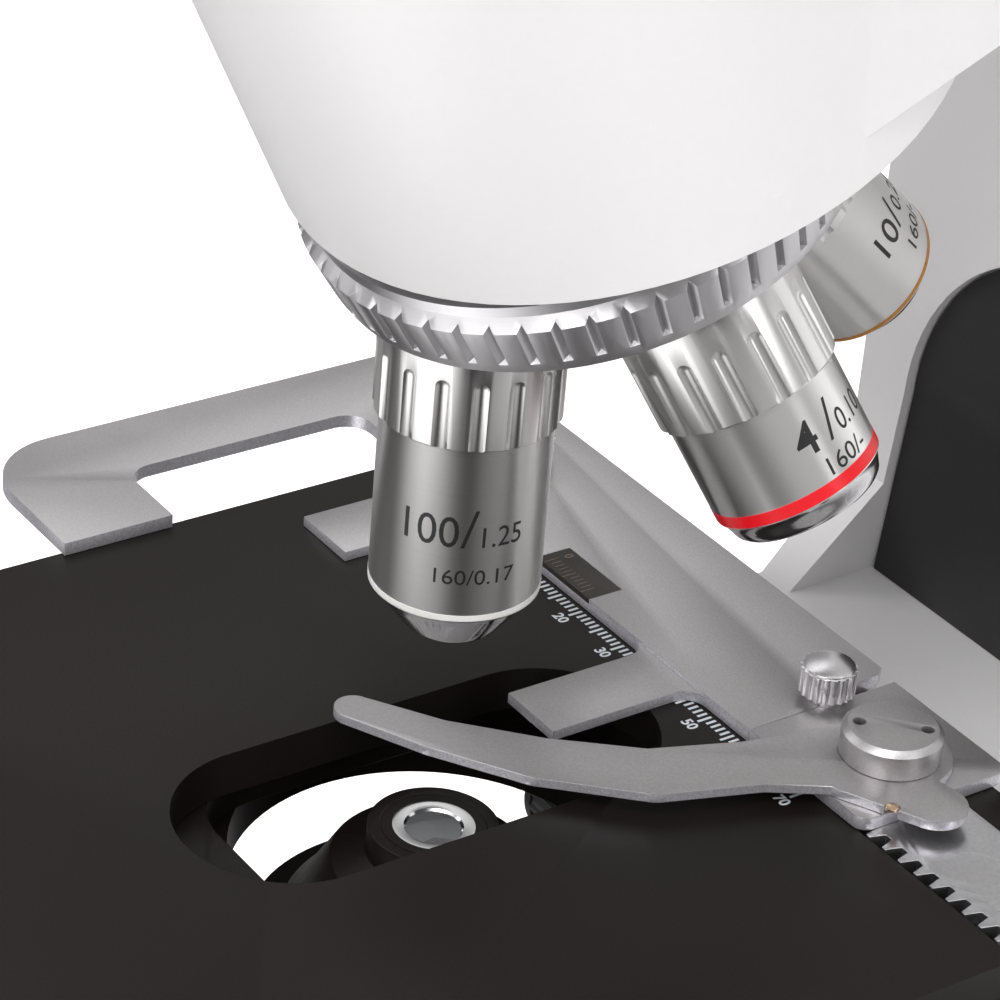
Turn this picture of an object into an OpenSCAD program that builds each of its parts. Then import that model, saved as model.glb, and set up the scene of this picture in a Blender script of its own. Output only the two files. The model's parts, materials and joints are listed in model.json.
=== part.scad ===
// Trinocular microscope, an assembly of separate pieces.
// Frame: origin on the bench under the optical axis, +Z up, the user sits at -Y, +X to the right.
// Sizes are in millimetres and angles in degrees.

/* [Optics] */
// Height of the stage's top face above the bench
stage_top = 150; // [145:1:160]
// Height of the turret's apex, where all the objective axes meet, over the stage top
apex_rise = 116.64; // [114:0.5:120]
// Tilt of the turret's axis, which is also each objective's angle to that axis
turret_tilt = 23.25; // [21:0.25:25]
// Distance from the apex to an objective's seating shoulder
shoulder_l = 49.2; // [48:0.2:51]
// Distance from the apex to the tip of the 4x objective
tip_4 = 80.1; // [76:0.5:84]
// Distance from the apex to the tip of the 10x objective
tip_10 = 86.5; // [84:0.5:90]
// Distance from the apex to the tip of the 40x objective
tip_40 = 93.5; // [92:0.5:95]
// Distance from the apex to the tip of the 100x objective
tip_100 = 94; // [92:0.5:95]
// Radius of an objective's barrel
barrel_r = 10.95; // [10.6:0.05:11.2]
// Radius of an objective's knurled sleeve
sleeve_r = 11.8; // [11.4:0.1:12.2]
// Length of an objective's sleeve below the shoulder
sleeve_h = 14.1; // [12:0.1:16]
// Radius of the objective thread
thread_r = 10.16; // [10:0.01:10.2]
// Length of the objective thread
thread_h = 5; // [4:0.5:5.5]

/* [Turret] */
// Radius of the turret ring at its lower edge
ring_r = 33.5; // [33:0.25:35]
// Radius of the turret ring at its upper edge
ring_top_r = 35; // [34.5:0.25:36]
// Height of the turret ring along its axis
ring_h = 10; // [9:0.25:10.5]
// Wall of the turret ring
ring_wall = 2.5; // [2:0.1:3]
// Number of grip facets round the ring
ring_facets = 54; // [48:1:60]
// Radius of the fixed seat that the turret turns on
seat_r = 30.5; // [29:0.5:30.5]
// Radius of the turret's centre screw
pivot_r = 4; // [3.5:0.1:4.5]

/* [Arm] */
// Half of the arm's width, also the radius of the round rim over the turret
arm_half = 43; // [42:0.5:46]
// Distance of the arm's front face behind the optical axis
arm_front = 104; // [100:0.5:108]
// Distance of the arm's back face behind the optical axis
arm_back = 118; // [116:1:122]
// Height of the arm's top face, where the head stands
arm_top = 300; // [298:1:304]
// Shift of the round rim towards the back in its own plane
rim_shift = 8.2; // [7:0.2:9]
// Distance of the round rim from the apex along the turret's axis
rim_d = 25.8; // [25:0.2:27]
// Depth of the niche in the arm's front
niche_depth = 3; // [2:0.5:6]
// Half width of the niche at its floor
niche_half = 36.2; // [34:0.1:38]
// Half width of the niche where its top corners begin
niche_top_half = 33; // [30:0.5:34]
// Height of the niche
niche_h = 32.5; // [28:0.5:36]
// Thickness of the black panel at the back of the niche
panel_t = 1.5; // [1:0.1:3]

/* [Focus] */
// Height of the focus shaft above the bench
shaft_z = 80; // [76:1:84]
// Distance of the focus shaft behind the optical axis
shaft_y = 96; // [95:0.5:97]
// Height of the top of the focus housing
housing_top = 131; // [129:0.5:133]
// Distance of the housing's front face behind the optical axis
housing_front = 72; // [71.6:0.1:73]
// Radius of the coarse knobs
coarse_r = 24; // [20:0.5:24.5]
// Width of a coarse knob
coarse_w = 23; // [18:0.5:24]
// Radius of the fine knobs
fine_r = 16; // [12:0.5:18]
// Outer face of the fine knobs from the middle plane
fine_x = 95.5; // [90:0.5:98]
// Radius of the hollow coarse shaft
coarse_shaft_r = 4.7; // [4.3:0.1:4.75]
// Radius of the fine shaft
fine_shaft_r = 2.5; // [2:0.1:3]
// Module of the focus, stage and condenser gears
gear_m = 1; // [1:0.01:1]
// Number of teeth of the focus pinion
focus_teeth = 12; // [12:1:12]

/* [Stage] */
// Half of the upper plate's width
plate_half = 69; // [67:0.5:72]
// Front edge of the upper plate
plate_front = -74; // [-80:1:-70]
// Back edge of the upper plate
plate_back = 62; // [58:0.5:62.5]
// Thickness of the upper plate
plate_t = 6.4; // [6:0.1:7]
// Thickness of the lower plate
lower_t = 6.5; // [5:0.1:7]
// Running gap between the two plates
plate_gap = 0.3; // [0.2:0.05:0.6]
// Half of the lower plate's width
lower_half = 50; // [48:0.5:50.5]
// Radius of the light opening's round ends
opening_r = 15; // [13:0.5:17]
// Front end of the light opening
opening_front = -38; // [-42:0.5:-34]
// Back end of the light opening
opening_back = 32.6; // [28:0.2:34]
// Half width of the lower plate's opening
lower_open = 20; // [18:0.5:22]
// Thickness of the flange that carries the plates
flange_t = 6.4; // [5:0.2:8]
// Radius of the flange's opening for the condenser
flange_open = 27; // [26.5:0.25:29]
// Place of the coaxial stem, to the right of the optical axis
stem_x = 60; // [59:0.25:61]
// Place of the coaxial stem, behind the optical axis
stem_y = 36; // [35.5:0.25:36.25]
// Radius of the Y knob
y_knob_r = 13; // [10:0.5:13]
// Radius of the X knob
x_knob_r = 11.5; // [9:0.5:12.5]
// Number of teeth of the stage pinions
stage_teeth = 10; // [10:1:10]

/* [Specimen holder] */
// Thickness of the holder's bar and pivot plate
holder_t = 2; // [1.6:0.1:2.4]
// Thickness of the two stop tabs
tab_t = 1.5; // [1:0.1:1.6]
// Front edge of the bar
bar_front = 39.4; // [39:0.1:39.6]
// Back edge of the bar
bar_back = 65; // [63:0.5:66]
// Left edge of the hook
hook_left = -95.5; // [-98:0.5:-92]
// Right end of the bar
bar_right = 12.7; // [12:0.1:13]
// Place of the finger's pivot, to the right
clip_x = 29.8; // [29:0.2:30.4]
// Place of the finger's pivot, behind the optical axis
clip_y = 51.1; // [50.6:0.1:51.6]
// Thickness of the finger
finger_t = 1.4; // [1:0.1:2]
// Radius of the pivot cap
cap_r = 6.8; // [6:0.1:7.2]
// Height of the pivot cap
cap_h = 4.2; // [3.6:0.1:5]
// Radius of a thumbscrew
thumb_r = 3.9; // [3:0.1:4.2]

/* [Condenser] */
// Distance of the condenser's top below the stage top
condenser_drop = 9.5; // [9:0.5:12]
// Radius of the condenser's body in its ring
body_r = 19.5; // [17:0.5:20]
// Radius of the condenser's top rim
condenser_top_r = 8.8; // [8:0.2:10]
// Wall of the condenser's ring
ring_t = 4.5; // [3:0.25:5]
// Bore of the swing-out filter holder
filter_r = 16.5; // [14:0.5:17]
// Radius of the condenser's knob
condenser_knob_r = 9; // [7:0.5:10]

/* [Base] */
// Front edge of the base
base_front = -100; // [-110:1:-90]
// Back edge of the base
base_back = 122.5; // [121:0.5:126]
// Half of the base's width at the front
base_front_half = 60; // [56:1:64]
// Half of the base's width at the back
base_back_half = 72; // [68:1:76]
// Height of the base where the arm stands
base_top = 50; // [48:1:52]
// Height of the base at its front edge
base_low = 43; // [40:1:46]
// Wall of the base casting
base_wall = 4; // [3:0.25:5]
// Height of the rubber feet
foot_h = 4; // [3:0.5:6]
// Radius of the rubber feet
foot_r = 11; // [8:0.5:13]
// Thickness of the bottom cover
cover_t = 2; // [1.5:0.1:3]
// Radius of the field lens
field_r = 24; // [20:0.5:26]

/* [Head] */
// Slope of the eyetubes above the level
eye_slope = 30; // [30:1:30]
// Distance of the eyetubes' hinge in front of the optical axis
hinge_front = 36; // [34:0.5:38]
// Height of the eyetubes' hinge above the bench
hinge_z = 335; // [333:0.5:337]
// Swing radius of the eyetubes
swing_r = 38; // [37:0.5:40]
// Half of the eyetubes' distance at rest
eye_half = 32; // [30:0.5:33]
// Bore radius of the eyetubes and of the photo tube
eye_bore_r = 11.6; // [11.6:0.01:11.6]
// Outer radius of the eyetubes
eyetube_r = 14.5; // [13.5:0.25:15]
// Distance of an eyetube's end from the hinge face
eyetube_end = 60; // [56:1:64]
// Length of an eyepiece beyond its tube
eyepiece_l = 43.6; // [40:0.2:46]
// Half of the head's width
head_half = 38; // [36:0.5:40]
// Height of the head's top face above the bench
head_top = 359; // [357:0.5:361]
// Outer radius of the photo tube
photo_r = 19; // [17:0.5:21]
// Height of the photo tube above the head
photo_h = 36; // [30:1:44]
// Radius of the round seat between arm and head
dovetail_r = 24; // [22:0.5:26]

/* [Fits] */
// Radial clearance of shafts and pins in their bores
fit = 0.05; // [0.03:0.01:0.1]
// Gap between parts that pass each other
gap = 0.3; // [0.2:0.05:0.4]

/* [Hidden] */
$fn = 96;
eps = 0.01;
past = 1;
snug = 0.02;

// Heights that follow from the driving sizes
apex_z = stage_top + apex_rise;
upper_z = stage_top - plate_t;
lower_z = upper_z - plate_gap - lower_t;
flange_z = lower_z - flange_t;
shaft_pitch_r = gear_m * focus_teeth / 2;
stage_pitch_r = gear_m * stage_teeth / 2;

// Radius and distance of the objectives' seats in the turret's own frame
seat_ring_r = shoulder_l * sin(turret_tilt);
seat_ring_d = shoulder_l * cos(turret_tilt);
ring_d = seat_ring_d - (ring_r - seat_ring_r) * tan(turret_tilt);
collar_h = 2;
disc_d = ring_d - ring_h + collar_h;

// Colours
white = [0.93, 0.93, 0.92];
black = [0.08, 0.08, 0.09];
steel = [0.78, 0.78, 0.8];
grey = [0.55, 0.55, 0.57];
glass = [0.6, 0.75, 0.85];

// Rectangle between two corners with round corners of radius r
module round_rect(lo, hi, r) {
  translate([lo[0] + r, lo[1]]) square([hi[0] - lo[0] - 2 * r, hi[1] - lo[1]]);
  translate([lo[0], lo[1] + r]) square([hi[0] - lo[0], hi[1] - lo[1] - 2 * r]);
  for (x = [lo[0] + r, hi[0] - r], y = [lo[1] + r, hi[1] - r])
    translate([x, y]) circle(r);
}

// Two circles joined by their outer tangents, the straight sides a hair inside the round ends
tuck = 0.02;
function tangent(c1, r1, c2, r2, side) =
  let (d = c2 - c1, a = atan2(d[1], d[0]) + side * acos((r1 - r2) / norm(d)))
  [c1 + (r1 - tuck) * [cos(a), sin(a)], c2 + (r2 - tuck) * [cos(a), sin(a)]];
module belt(c1, r1, c2, r2) {
  translate(c1) circle(r1);
  translate(c2) circle(r2);
  left = tangent(c1, r1, c2, r2, 1);
  right = tangent(c1, r1, c2, r2, -1);
  polygon([left[0], right[0], right[1], left[1]]);
}

// Extrusions: upwards between two heights, and along X or Y between two places
module between(z0, z1) { translate([0, 0, z0]) linear_extrude(z1 - z0) children(); }
module along_x(x0, x1) { translate([x0, 0, 0]) rotate([90, 0, 90]) linear_extrude(x1 - x0) children(); }
module along_y(y0, y1) { translate([0, y1, 0]) rotate([90, 0, 0]) linear_extrude(y1 - y0) children(); }

// Round bar, and ring, between two heights
module bar(z0, z1, r) { translate([0, 0, z0]) cylinder(r = r, h = z1 - z0); }
module ring(z0, z1, r_out, r_in) {
  difference() {
    bar(z0, z1, r_out);
    bar(z0 - past, z1 + past, r_in);
  }
}
module turned() { rotate_extrude() children(); }

// Box between two corners
module box(lo, hi) { translate(lo) cube(hi - lo); }

// Places a child whose +Z is to point along +X
module to_x(p) { translate(p) rotate([0, 90, 0]) children(); }

// Outline of a gear with a tooth on its +X side
tooth_root = 0.31;
tooth_tip = 0.11;
function gear_points(teeth) = [for (i = [0 : teeth - 1], k = [0 : 3])
  let (low = k == 0 || k == 3,
       r = gear_m * (teeth / 2 + (low ? -1.25 : 1)),
       a = (i + (k < 2 ? -1 : 1) * (low ? tooth_root : tooth_tip)) * 360 / teeth)
  r * [cos(a), sin(a)]];

// Outline of a rack along +X, its teeth towards +Y from a pitch line at 0, a gap at the origin
function rack_points(n0, n1, back) = concat(
  [[n0 * PI * gear_m, -back], [n0 * PI * gear_m, -1.25 * gear_m]],
  [for (i = [n0 : n1], k = [0 : 3])
    let (low = k == 0 || k == 3)
    [(i + 0.5 + (k < 2 ? -1 : 1) * (low ? tooth_root : tooth_tip)) * PI * gear_m,
     low ? -1.25 * gear_m : gear_m]],
  [[(n1 + 1) * PI * gear_m, -1.25 * gear_m], [(n1 + 1) * PI * gear_m, -back]]);

// Round knob along +Z with scalloped grip
module fluted(r, h, flutes, depth) {
  difference() {
    turned() polygon([[0, 0], [r - 1, 0], [r, 1], [r, h - 1], [r - 1, h], [0, h]]);
    for (i = [0 : flutes - 1]) rotate(i * 360 / flutes)
      translate([r + depth, 0, h / 5]) cylinder(r = 2 * depth, h = h, $fn = 24);
  }
}

// Turret frame: apex at the origin, the turret below it along -Z
module turret_frame() { translate([0, 0, apex_z]) rotate([turret_tilt, 0, 0]) children(); }
module objective_frame(phi) { rotate([0, 0, phi]) rotate([-turret_tilt, 0, 0]) children(); }

// Base plan, drawn in by a given inset
front_corner = 34;
back_corner = 20;
waist_y = 50;
module base_plan(inset) {
  fr = front_corner - inset;
  br = back_corner - inset;
  fx = base_front_half - front_corner;
  bx = base_back_half - back_corner;
  fy = base_front + front_corner;
  back_y = base_back - back_corner;
  side = tangent([fx, fy], fr, [bx, waist_y], br, -1);
  right = [
    [fx, base_front + inset + tuck], side[0], side[1], [bx + br - tuck, waist_y], [bx + br - tuck, back_y],
    [bx, base_back - inset - tuck]
  ];
  for (m = [0, 1]) mirror([m, 0]) {
    polygon(concat([[-1, base_front + inset + tuck]], right, [[-1, base_back - inset - tuck]]));
    translate([fx, fy]) circle(fr);
    for (y = [waist_y, back_y]) translate([bx, y]) circle(br);
  }
}

// Side outline of the base: level under the arm, sloping down to a round front
base_z = foot_h + cover_t;
nose_r = 14;
slope_y = 55;
module base_side() {
  polygon([
    [base_front, base_z], [base_front, base_low - nose_r], [base_front + nose_r, base_low],
    [slope_y, base_top], [base_back, base_top], [base_back, base_z]
  ]);
  intersection() {
    translate([base_front + nose_r, base_low - nose_r]) circle(nose_r);
    translate([base_front, base_low - nose_r]) square(nose_r);
  }
}

inlet_x = 42;
inlet_z = 26;
inlet_depth = 22;
control_y = 78;
control_z = 28;
led_well_r = field_r + 1;
module base_casting() color(white) difference() {
  union() {
    intersection() {
      between(base_z, base_top + past) base_plan(0);
      along_x(-base_back_half - past, base_back_half + past) base_side();
    }
    bar(base_low - base_wall, base_top, 38);
  }
  difference() {
    between(base_z - past, base_low - base_wall) base_plan(base_wall);
    for (x = [-40, 40], y = [-60, 40]) translate([x, y, 0]) bar(base_z - past, base_low, 5);
  }
  bar(base_low - base_wall - past, base_top + past, led_well_r);
  box([inlet_x - 14, base_back - inlet_depth - gap, inlet_z - 16], [inlet_x + 14, base_back + past, inlet_z + 16]);
  box([base_back_half - base_wall - past, control_y - 9, control_z - 6],
    [base_back_half + past, control_y + 9, control_z + 6]);
  to_x([-base_back_half - past, control_y, control_z]) bar(0, base_wall + 2 * past, 3 + fit);
}

module bottom_cover() color(grey) {
  between(foot_h, foot_h + cover_t) base_plan(base_wall / 2);
  for (x = [-44, 6], y = [62, 100]) translate([x, y, 0]) ring(base_z, base_z + 4, 3.5, 1.5);
}

module rubber_feet() color(black)
  for (x = [-1, 1], y = [base_front + 30, base_back - 24])
    translate([x * (y < 0 ? base_front_half - 26 : base_back_half - 22), y, 0])
      turned() polygon([[0, 0], [foot_r - 1, 0], [foot_r, 1], [foot_r - 0.6, foot_h], [0, foot_h]]);

collar_z = base_low + 3;
collar_top = 60;
module lamp_collar() color(black) difference() {
  turned() polygon([[led_well_r - 3, collar_z - 4], [led_well_r - fit, collar_z - 4], [led_well_r - fit, base_top],
    [38, base_top], [38, base_top + 4], [31, collar_top], [field_r + fit, collar_top],
    [field_r + fit, collar_z], [led_well_r - 3, collar_z]]);
  for (i = [0 : 35]) rotate(10 * i) translate([38.6, 0, base_top + 1]) cylinder(r = 1.2, h = 12, $fn = 16);
}

module field_lens() color(glass) intersection() {
  bar(collar_z + eps, collar_top + 3, field_r);
  translate([0, 0, collar_top + 3 - 90]) sphere(90);
}

module lamp_board() color([0.1, 0.4, 0.25]) {
  difference() {
    bar(base_low - base_wall - 2, base_low - base_wall, 33);
    for (a = [45 : 90 : 315]) rotate(a) translate([30, 0, 0]) bar(base_low - base_wall - 3, base_low, 1.6);
  }
  box([-4, -4, base_low - base_wall], [4, 4, base_low - base_wall + 1.5]);
}

module power_board() color([0.1, 0.4, 0.25]) {
  board = base_z + 4;
  difference() {
    box([-50, 56, board], [12, 106, board + 1.6]);
    for (x = [-44, 6], y = [62, 100]) translate([x, y, 0]) bar(board - past, board + 3, 1.5);
  }
  box([-46, 70, board + 1.6], [-20, 94, board + 20]);
  for (x = [-12, -1]) translate([x, 76, 0]) bar(board + 1.6, board + 15, 4.5);
}

module power_inlet() color(black) {
  difference() {
    box([inlet_x - 13.8, base_back - inlet_depth, inlet_z - 15.8], [inlet_x + 13.8, base_back, inlet_z + 15.8]);
    box([inlet_x - 11, base_back - 16, inlet_z - 11], [inlet_x + 11, base_back + past, inlet_z + 6]);
  }
  difference() {
    along_y(base_back, base_back + 1.5) round_rect([inlet_x - 17, inlet_z - 18.5], [inlet_x + 17, inlet_z + 18.5], 2);
    box([inlet_x - 11, base_back - past, inlet_z - 11], [inlet_x + 11, base_back + 3, inlet_z + 6]);
  }
  for (x = [-7, 0, 7]) box([inlet_x + x - 1, base_back - 16, inlet_z - (x == 0 ? 0 : 6)],
    [inlet_x + x + 1, base_back - 3, inlet_z + (x == 0 ? 4 : -2)]);
  box([inlet_x - 10, base_back, inlet_z + 8.5], [inlet_x + 10, base_back + 2.2, inlet_z + 14]);
}

// Rocker, at rest with its front half pressed in
rocker_tilt = 9;
rocker_x = base_back_half - 6;
module power_switch() color(black) translate([rocker_x, control_y, control_z - 5.6])
  linear_extrude(11.2) rotate(rocker_tilt) polygon([[-2, -6], [-2, 6], [7.5, 8], [5.8, 0], [7.5, -8]]);

module brightness_dial() color(black) to_x([-base_back_half - 13, control_y, control_z]) {
  rotate([0, 180, 0]) translate([0, 0, -12.7]) fluted(12, 12.7, 18, 1.2);
  bar(12, 12 + base_wall + 4, 3);
}

// Side outline of the arm: upright, beam over the turret, round inner corner and round top back edge
under_rise = 6;
inner_r = 22;
outer_r = 25;
screw_up = 4;
gusset_front = 88.5;
gusset_top = 147;
function rim_point(d_up) = [rim_shift * cos(turret_tilt) + (rim_d - d_up) * sin(turret_tilt),
  apex_z + rim_shift * sin(turret_tilt) - (rim_d - d_up) * cos(turret_tilt)];
module arm_side() {
  p = rim_point(under_rise);
  slope = tan(turret_tilt);
  fy = arm_front - inner_r;
  fz = p[1] + slope * (fy - p[0]) - inner_r / cos(turret_tilt);
  t = [fy, fz] + inner_r * [-sin(turret_tilt), cos(turret_tilt)];
  difference() {
    polygon([[0, p[1] - slope * p[0]], [arm_front, p[1] + slope * (arm_front - p[0])],
      [arm_front, housing_top - past], [arm_back, housing_top - past], [arm_back, arm_top], [0, arm_top]]);
    difference() {
      translate([arm_back - outer_r, arm_top - outer_r]) square(outer_r + past);
      translate([arm_back - outer_r, arm_top - outer_r]) circle(outer_r);
    }
  }
  polygon([[arm_front + eps, gusset_top], [gusset_front, housing_top - past], [arm_front + eps, housing_top - past]]);
  difference() {
    polygon([[fy, fz], t, [arm_front + eps, p[1] + slope * (arm_front - p[0])], [arm_front + eps, fz]]);
    translate([fy, fz]) circle(inner_r);
  }
}

// Outline of the niche, drawn in by a given inset
module niche_outline(inset) {
  polygon([[-niche_half + inset, 0], [niche_half - inset, 0], [niche_top_half - inset, niche_h],
    [inset - niche_top_half, niche_h]]);
  intersection() {
    translate([0, niche_h]) circle(niche_top_half - inset);
    translate([-niche_half, niche_h - eps]) square([2 * niche_half, niche_half]);
  }
}

bowl_flare = 4;
bowl_h = 75;
bowl_recess_r = 38;
cavity_half = 28;
cavity_back = 104;
cavity_z = [54, 127];
slot_half = 23.5;
slot_lip = 2;
bush_r = 9;
light_bore = 9;
seat_ring_h = 7;
head_recess = 2;
module arm_casting() color(white) difference() {
  union() {
    intersection() {
      along_x(-arm_half, arm_half) arm_side();
      between(base_top, arm_top) round_rect([-arm_half, -past], [arm_half, arm_back], 12);
    }
    intersection() {
      turret_frame() translate([0, rim_shift, -rim_d])
        cylinder(r1 = arm_half, r2 = arm_half + bowl_flare, h = bowl_h);
      box([-60, -90, 200], [60, 89, arm_top]);
    }
    between(base_top, housing_top) round_rect([-arm_half, housing_front], [arm_half, arm_back], 8);
    ring(arm_top - past, arm_top + seat_ring_h, dovetail_r + 9, dovetail_r + fit);
  }
  turret_frame() translate([0, rim_shift, -rim_d - past]) cylinder(r = bowl_recess_r, h = past + 2.5);
  turret_frame() bar(-rim_d - past, -rim_d + 2.5, seat_r + gap);
  bar(apex_z - 60, arm_top + past, light_bore);
  bar(arm_top - head_recess, arm_top + 20, dovetail_r + fit);
  rotate([0, 0, -35]) to_x([0, 0, arm_top + screw_up]) bar(dovetail_r - past, dovetail_r + 12, 2 + fit);
  translate([0, 0, housing_top]) along_y(gusset_front - past, arm_front + niche_depth) niche_outline(0);
  box([-cavity_half, housing_front + slot_lip, cavity_z[0]], [cavity_half, cavity_back, cavity_z[1]]);
  box([-slot_half, housing_front - past, cavity_z[0]], [slot_half, housing_front + slot_lip + past, cavity_z[1]]);
  to_x([-arm_half - past, shaft_y, shaft_z]) bar(0, 2 * (arm_half + past), bush_r);
}

module arm_panel() color(black)
  translate([0, 0, housing_top]) along_y(arm_front + niche_depth - panel_t, arm_front + niche_depth) niche_outline(gap);

// Dovetail rails inside the housing, and the tongue that slides between them
tongue_y = housing_front + slot_lip;
tongue_t = 10;
tongue_half = 18;
tongue_flare = 4;
rail_gap = 0.08;
module focus_guides() color(steel) for (s = [-1, 1]) between(cavity_z[0] + 2, cavity_z[1] - 1)
  polygon([[s * (tongue_half + rail_gap), tongue_y], [s * cavity_half, tongue_y],
    [s * cavity_half, tongue_y + tongue_t], [s * (tongue_half + tongue_flare + rail_gap), tongue_y + tongue_t],
    [s * (tongue_half + rail_gap), tongue_y + 2]]);

module focus_bushes() color([0.75, 0.6, 0.3]) for (s = [-1, 1])
  to_x([s < 0 ? -arm_half : cavity_half, shaft_y, shaft_z])
    ring(0, arm_half - cavity_half, bush_r, coarse_shaft_r + fit);

// Coarse drive: hollow shaft with its pinion, and two knobs; fine drive: shaft and two knobs
knob_gap = 0.5;
coarse_x = arm_half + 4;
module coarse_shaft() color(steel) difference() {
  union() {
    to_x([-coarse_x - coarse_w + 4, shaft_y, shaft_z]) bar(0, 2 * (coarse_x + coarse_w - 4), coarse_shaft_r);
    to_x([-5, shaft_y, shaft_z]) linear_extrude(10) polygon(gear_points(focus_teeth));
  }
  to_x([-100, shaft_y, shaft_z]) bar(0, 200, fine_shaft_r + fit);
}
module coarse_knobs() color(black) for (s = [0, 1]) mirror([s, 0, 0])
  to_x([coarse_x, shaft_y, shaft_z]) difference() {
    fluted(coarse_r, coarse_w, 30, 0.9);
    bar(-past, coarse_w - 4, coarse_shaft_r + snug);
    bar(-past, coarse_w + past, fine_shaft_r + fit);
    bar(coarse_w - 4, coarse_w + past, fine_r + 1);
  }
module fine_shaft() color(steel) to_x([-fine_x + 6, shaft_y, shaft_z]) bar(0, 2 * (fine_x - 6), fine_shaft_r);
module fine_knobs() color(black) for (s = [0, 1]) mirror([s, 0, 0])
  to_x([coarse_x + coarse_w - 4 + knob_gap, shaft_y, shaft_z]) difference() {
    fluted(fine_r, fine_x - coarse_x - coarse_w + 4 - knob_gap, 24, 0.7);
    bar(-past, fine_x - 6 - (coarse_x + coarse_w - 4 + knob_gap), fine_shaft_r + snug);
  }
module tension_ring() color(grey) to_x([arm_half + gap, shaft_y, shaft_z]) difference() {
  fluted(coarse_r - 4, coarse_x - arm_half - 2 * gap, 20, 0.8);
  bar(-past, 6, coarse_shaft_r + fit);
}

// Stage carrier: tongue, front plate, flange with gussets, and the condenser's dovetail and rack
front_y = [64, 71.4];
front_half = 30;
front_low = 76;
tongue_z = [59, 110];
dove_y = 58.5;
dove_half = 5;
rack_x = [9, 15];
gusset_low = 116;
condenser_rack_y = 61;
module tongue_outline() polygon([
  [-tongue_half, front_y[1] - eps], [tongue_half, front_y[1] - eps], [tongue_half, tongue_y + 2],
  [tongue_half + tongue_flare, tongue_y + tongue_t], [-tongue_half - tongue_flare, tongue_y + tongue_t],
  [-tongue_half, tongue_y + 2]]);
module dove_outline(grow) polygon([
  [-dove_half - grow, front_y[0] + eps], [-dove_half - 2.5 - grow, dove_y - grow],
  [dove_half + 2.5 + grow, dove_y - grow], [dove_half + grow, front_y[0] + eps]]);
module stage_carrier() color(grey) {
  difference() {
    union() {
      between(flange_z, flange_z + flange_t) {
        belt([0, 0], flange_open + 9, [0, front_y[0] - 8], front_half);
        translate([-front_half, 30]) square([2 * front_half, front_y[1] - 30]);
      }
      between(front_low, flange_z + eps) round_rect([-front_half, front_y[0]], [front_half, front_y[1]], 2);
      for (s = [-1, 1]) along_x(s * (front_half - 2) - 2, s * (front_half - 2) + 2)
        polygon([[40, flange_z + eps], [front_y[0] + eps, flange_z + eps], [front_y[0] + eps, gusset_low]]);
    }
    bar(flange_z - past, flange_z + flange_t + past, flange_open);
    between(flange_z + flange_t - 40, flange_z + flange_t + past) translate([-60, front_y[1]]) square([120, 20]);
  }
  between(tongue_z[0], tongue_z[1]) tongue_outline();
  between(front_low, 126) dove_outline(0);
  mirror([0, 1, 0]) translate([rack_x[1], -condenser_rack_y, 104]) rotate([0, -90, 0])
    linear_extrude(rack_x[1] - rack_x[0]) polygon(rack_points(-8, 6, front_y[0] - condenser_rack_y + eps));
}
module focus_rack() color(steel) translate([5, shaft_y - shaft_pitch_r, shaft_z]) rotate([0, -90, 0])
  linear_extrude(10) polygon(rack_points(-6, 5, shaft_y - shaft_pitch_r - tongue_y - tongue_t));

// Lower plate with two raised rails, and the upper plate that runs on them
rail_x = 40;
rail_half = 3;
rail_h = 1.2;
rail_fit = 0.05;
module lower_plate() color(black) difference() {
  union() {
    between(lower_z, lower_z + lower_t) round_rect([-lower_half, -62], [lower_half, front_y[0]], 5);
    for (s = [-1, 1]) box([s * rail_x - rail_half, -58, lower_z + lower_t - eps],
      [s * rail_x + rail_half, 60, lower_z + lower_t + rail_h]);
  }
  between(lower_z - past, lower_z + lower_t + past) round_rect([-lower_open, -28], [lower_open, 34], 12);
}
module y_rack() color(steel) translate([stem_x - stage_pitch_r, stem_y, lower_z + 0.6]) rotate([0, 0, -90])
  linear_extrude(5.3) polygon(rack_points(-8, 8, stem_x - stage_pitch_r - lower_half));

slide_drop = 4.7;
groove_side = 0.15;
slide_back = 56;
pinion_room = 0.5;
module upper_plate() color(black) difference() {
  between(upper_z, stage_top) round_rect([-plate_half, plate_front], [plate_half, plate_back], 5);
  between(upper_z - past, stage_top + past)
    belt([0, opening_front + opening_r], opening_r, [0, opening_back - opening_r], opening_r - eps);
  for (s = [-1, 1]) box([s * rail_x - rail_half - groove_side, plate_front - past, upper_z - past],
    [s * rail_x + rail_half + groove_side, plate_back + past, lower_z + lower_t + rail_h + rail_fit]);
  box([-plate_half - past, stem_y + stage_pitch_r - gear_m - gap, stage_top - slide_drop],
    [plate_half + past, slide_back + groove_side, stage_top + past]);
  translate([stem_x, stem_y, 0]) bar(upper_z - past, stage_top - 1.6, stage_pitch_r + gear_m + pinion_room);
}

// The stem hangs from the upper plate and is open towards the rack
stem_r = 9;
stem_low = 126;
tube_r = 3.4;
core_r = 2;
module stem_housing() color(black) translate([stem_x, stem_y, 0]) difference() {
  bar(stem_low, upper_z, stem_r);
  bar(stem_low - past, upper_z, tube_r + fit);
  bar(lower_z + 0.3, upper_z + past, stage_pitch_r + gear_m + pinion_room);
  box([-stem_r - past, -stem_r - past, lower_z - 0.5],
    [-stage_pitch_r + gear_m + 0.6, stem_r + past, upper_z + past]);
}
knob_z = 100;
y_knob_h = 12;
x_knob_h = 12;
module y_knob() color(black) translate([stem_x, stem_y, 0]) difference() {
  union() {
    translate([0, 0, lower_z + 0.6]) linear_extrude(5.3) polygon(gear_points(stage_teeth));
    bar(knob_z + y_knob_h - 1, lower_z + 1, tube_r);
    translate([0, 0, knob_z]) fluted(y_knob_r, y_knob_h, 24, 0.7);
  }
  bar(knob_z - past, upper_z, core_r + fit);
}
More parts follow.
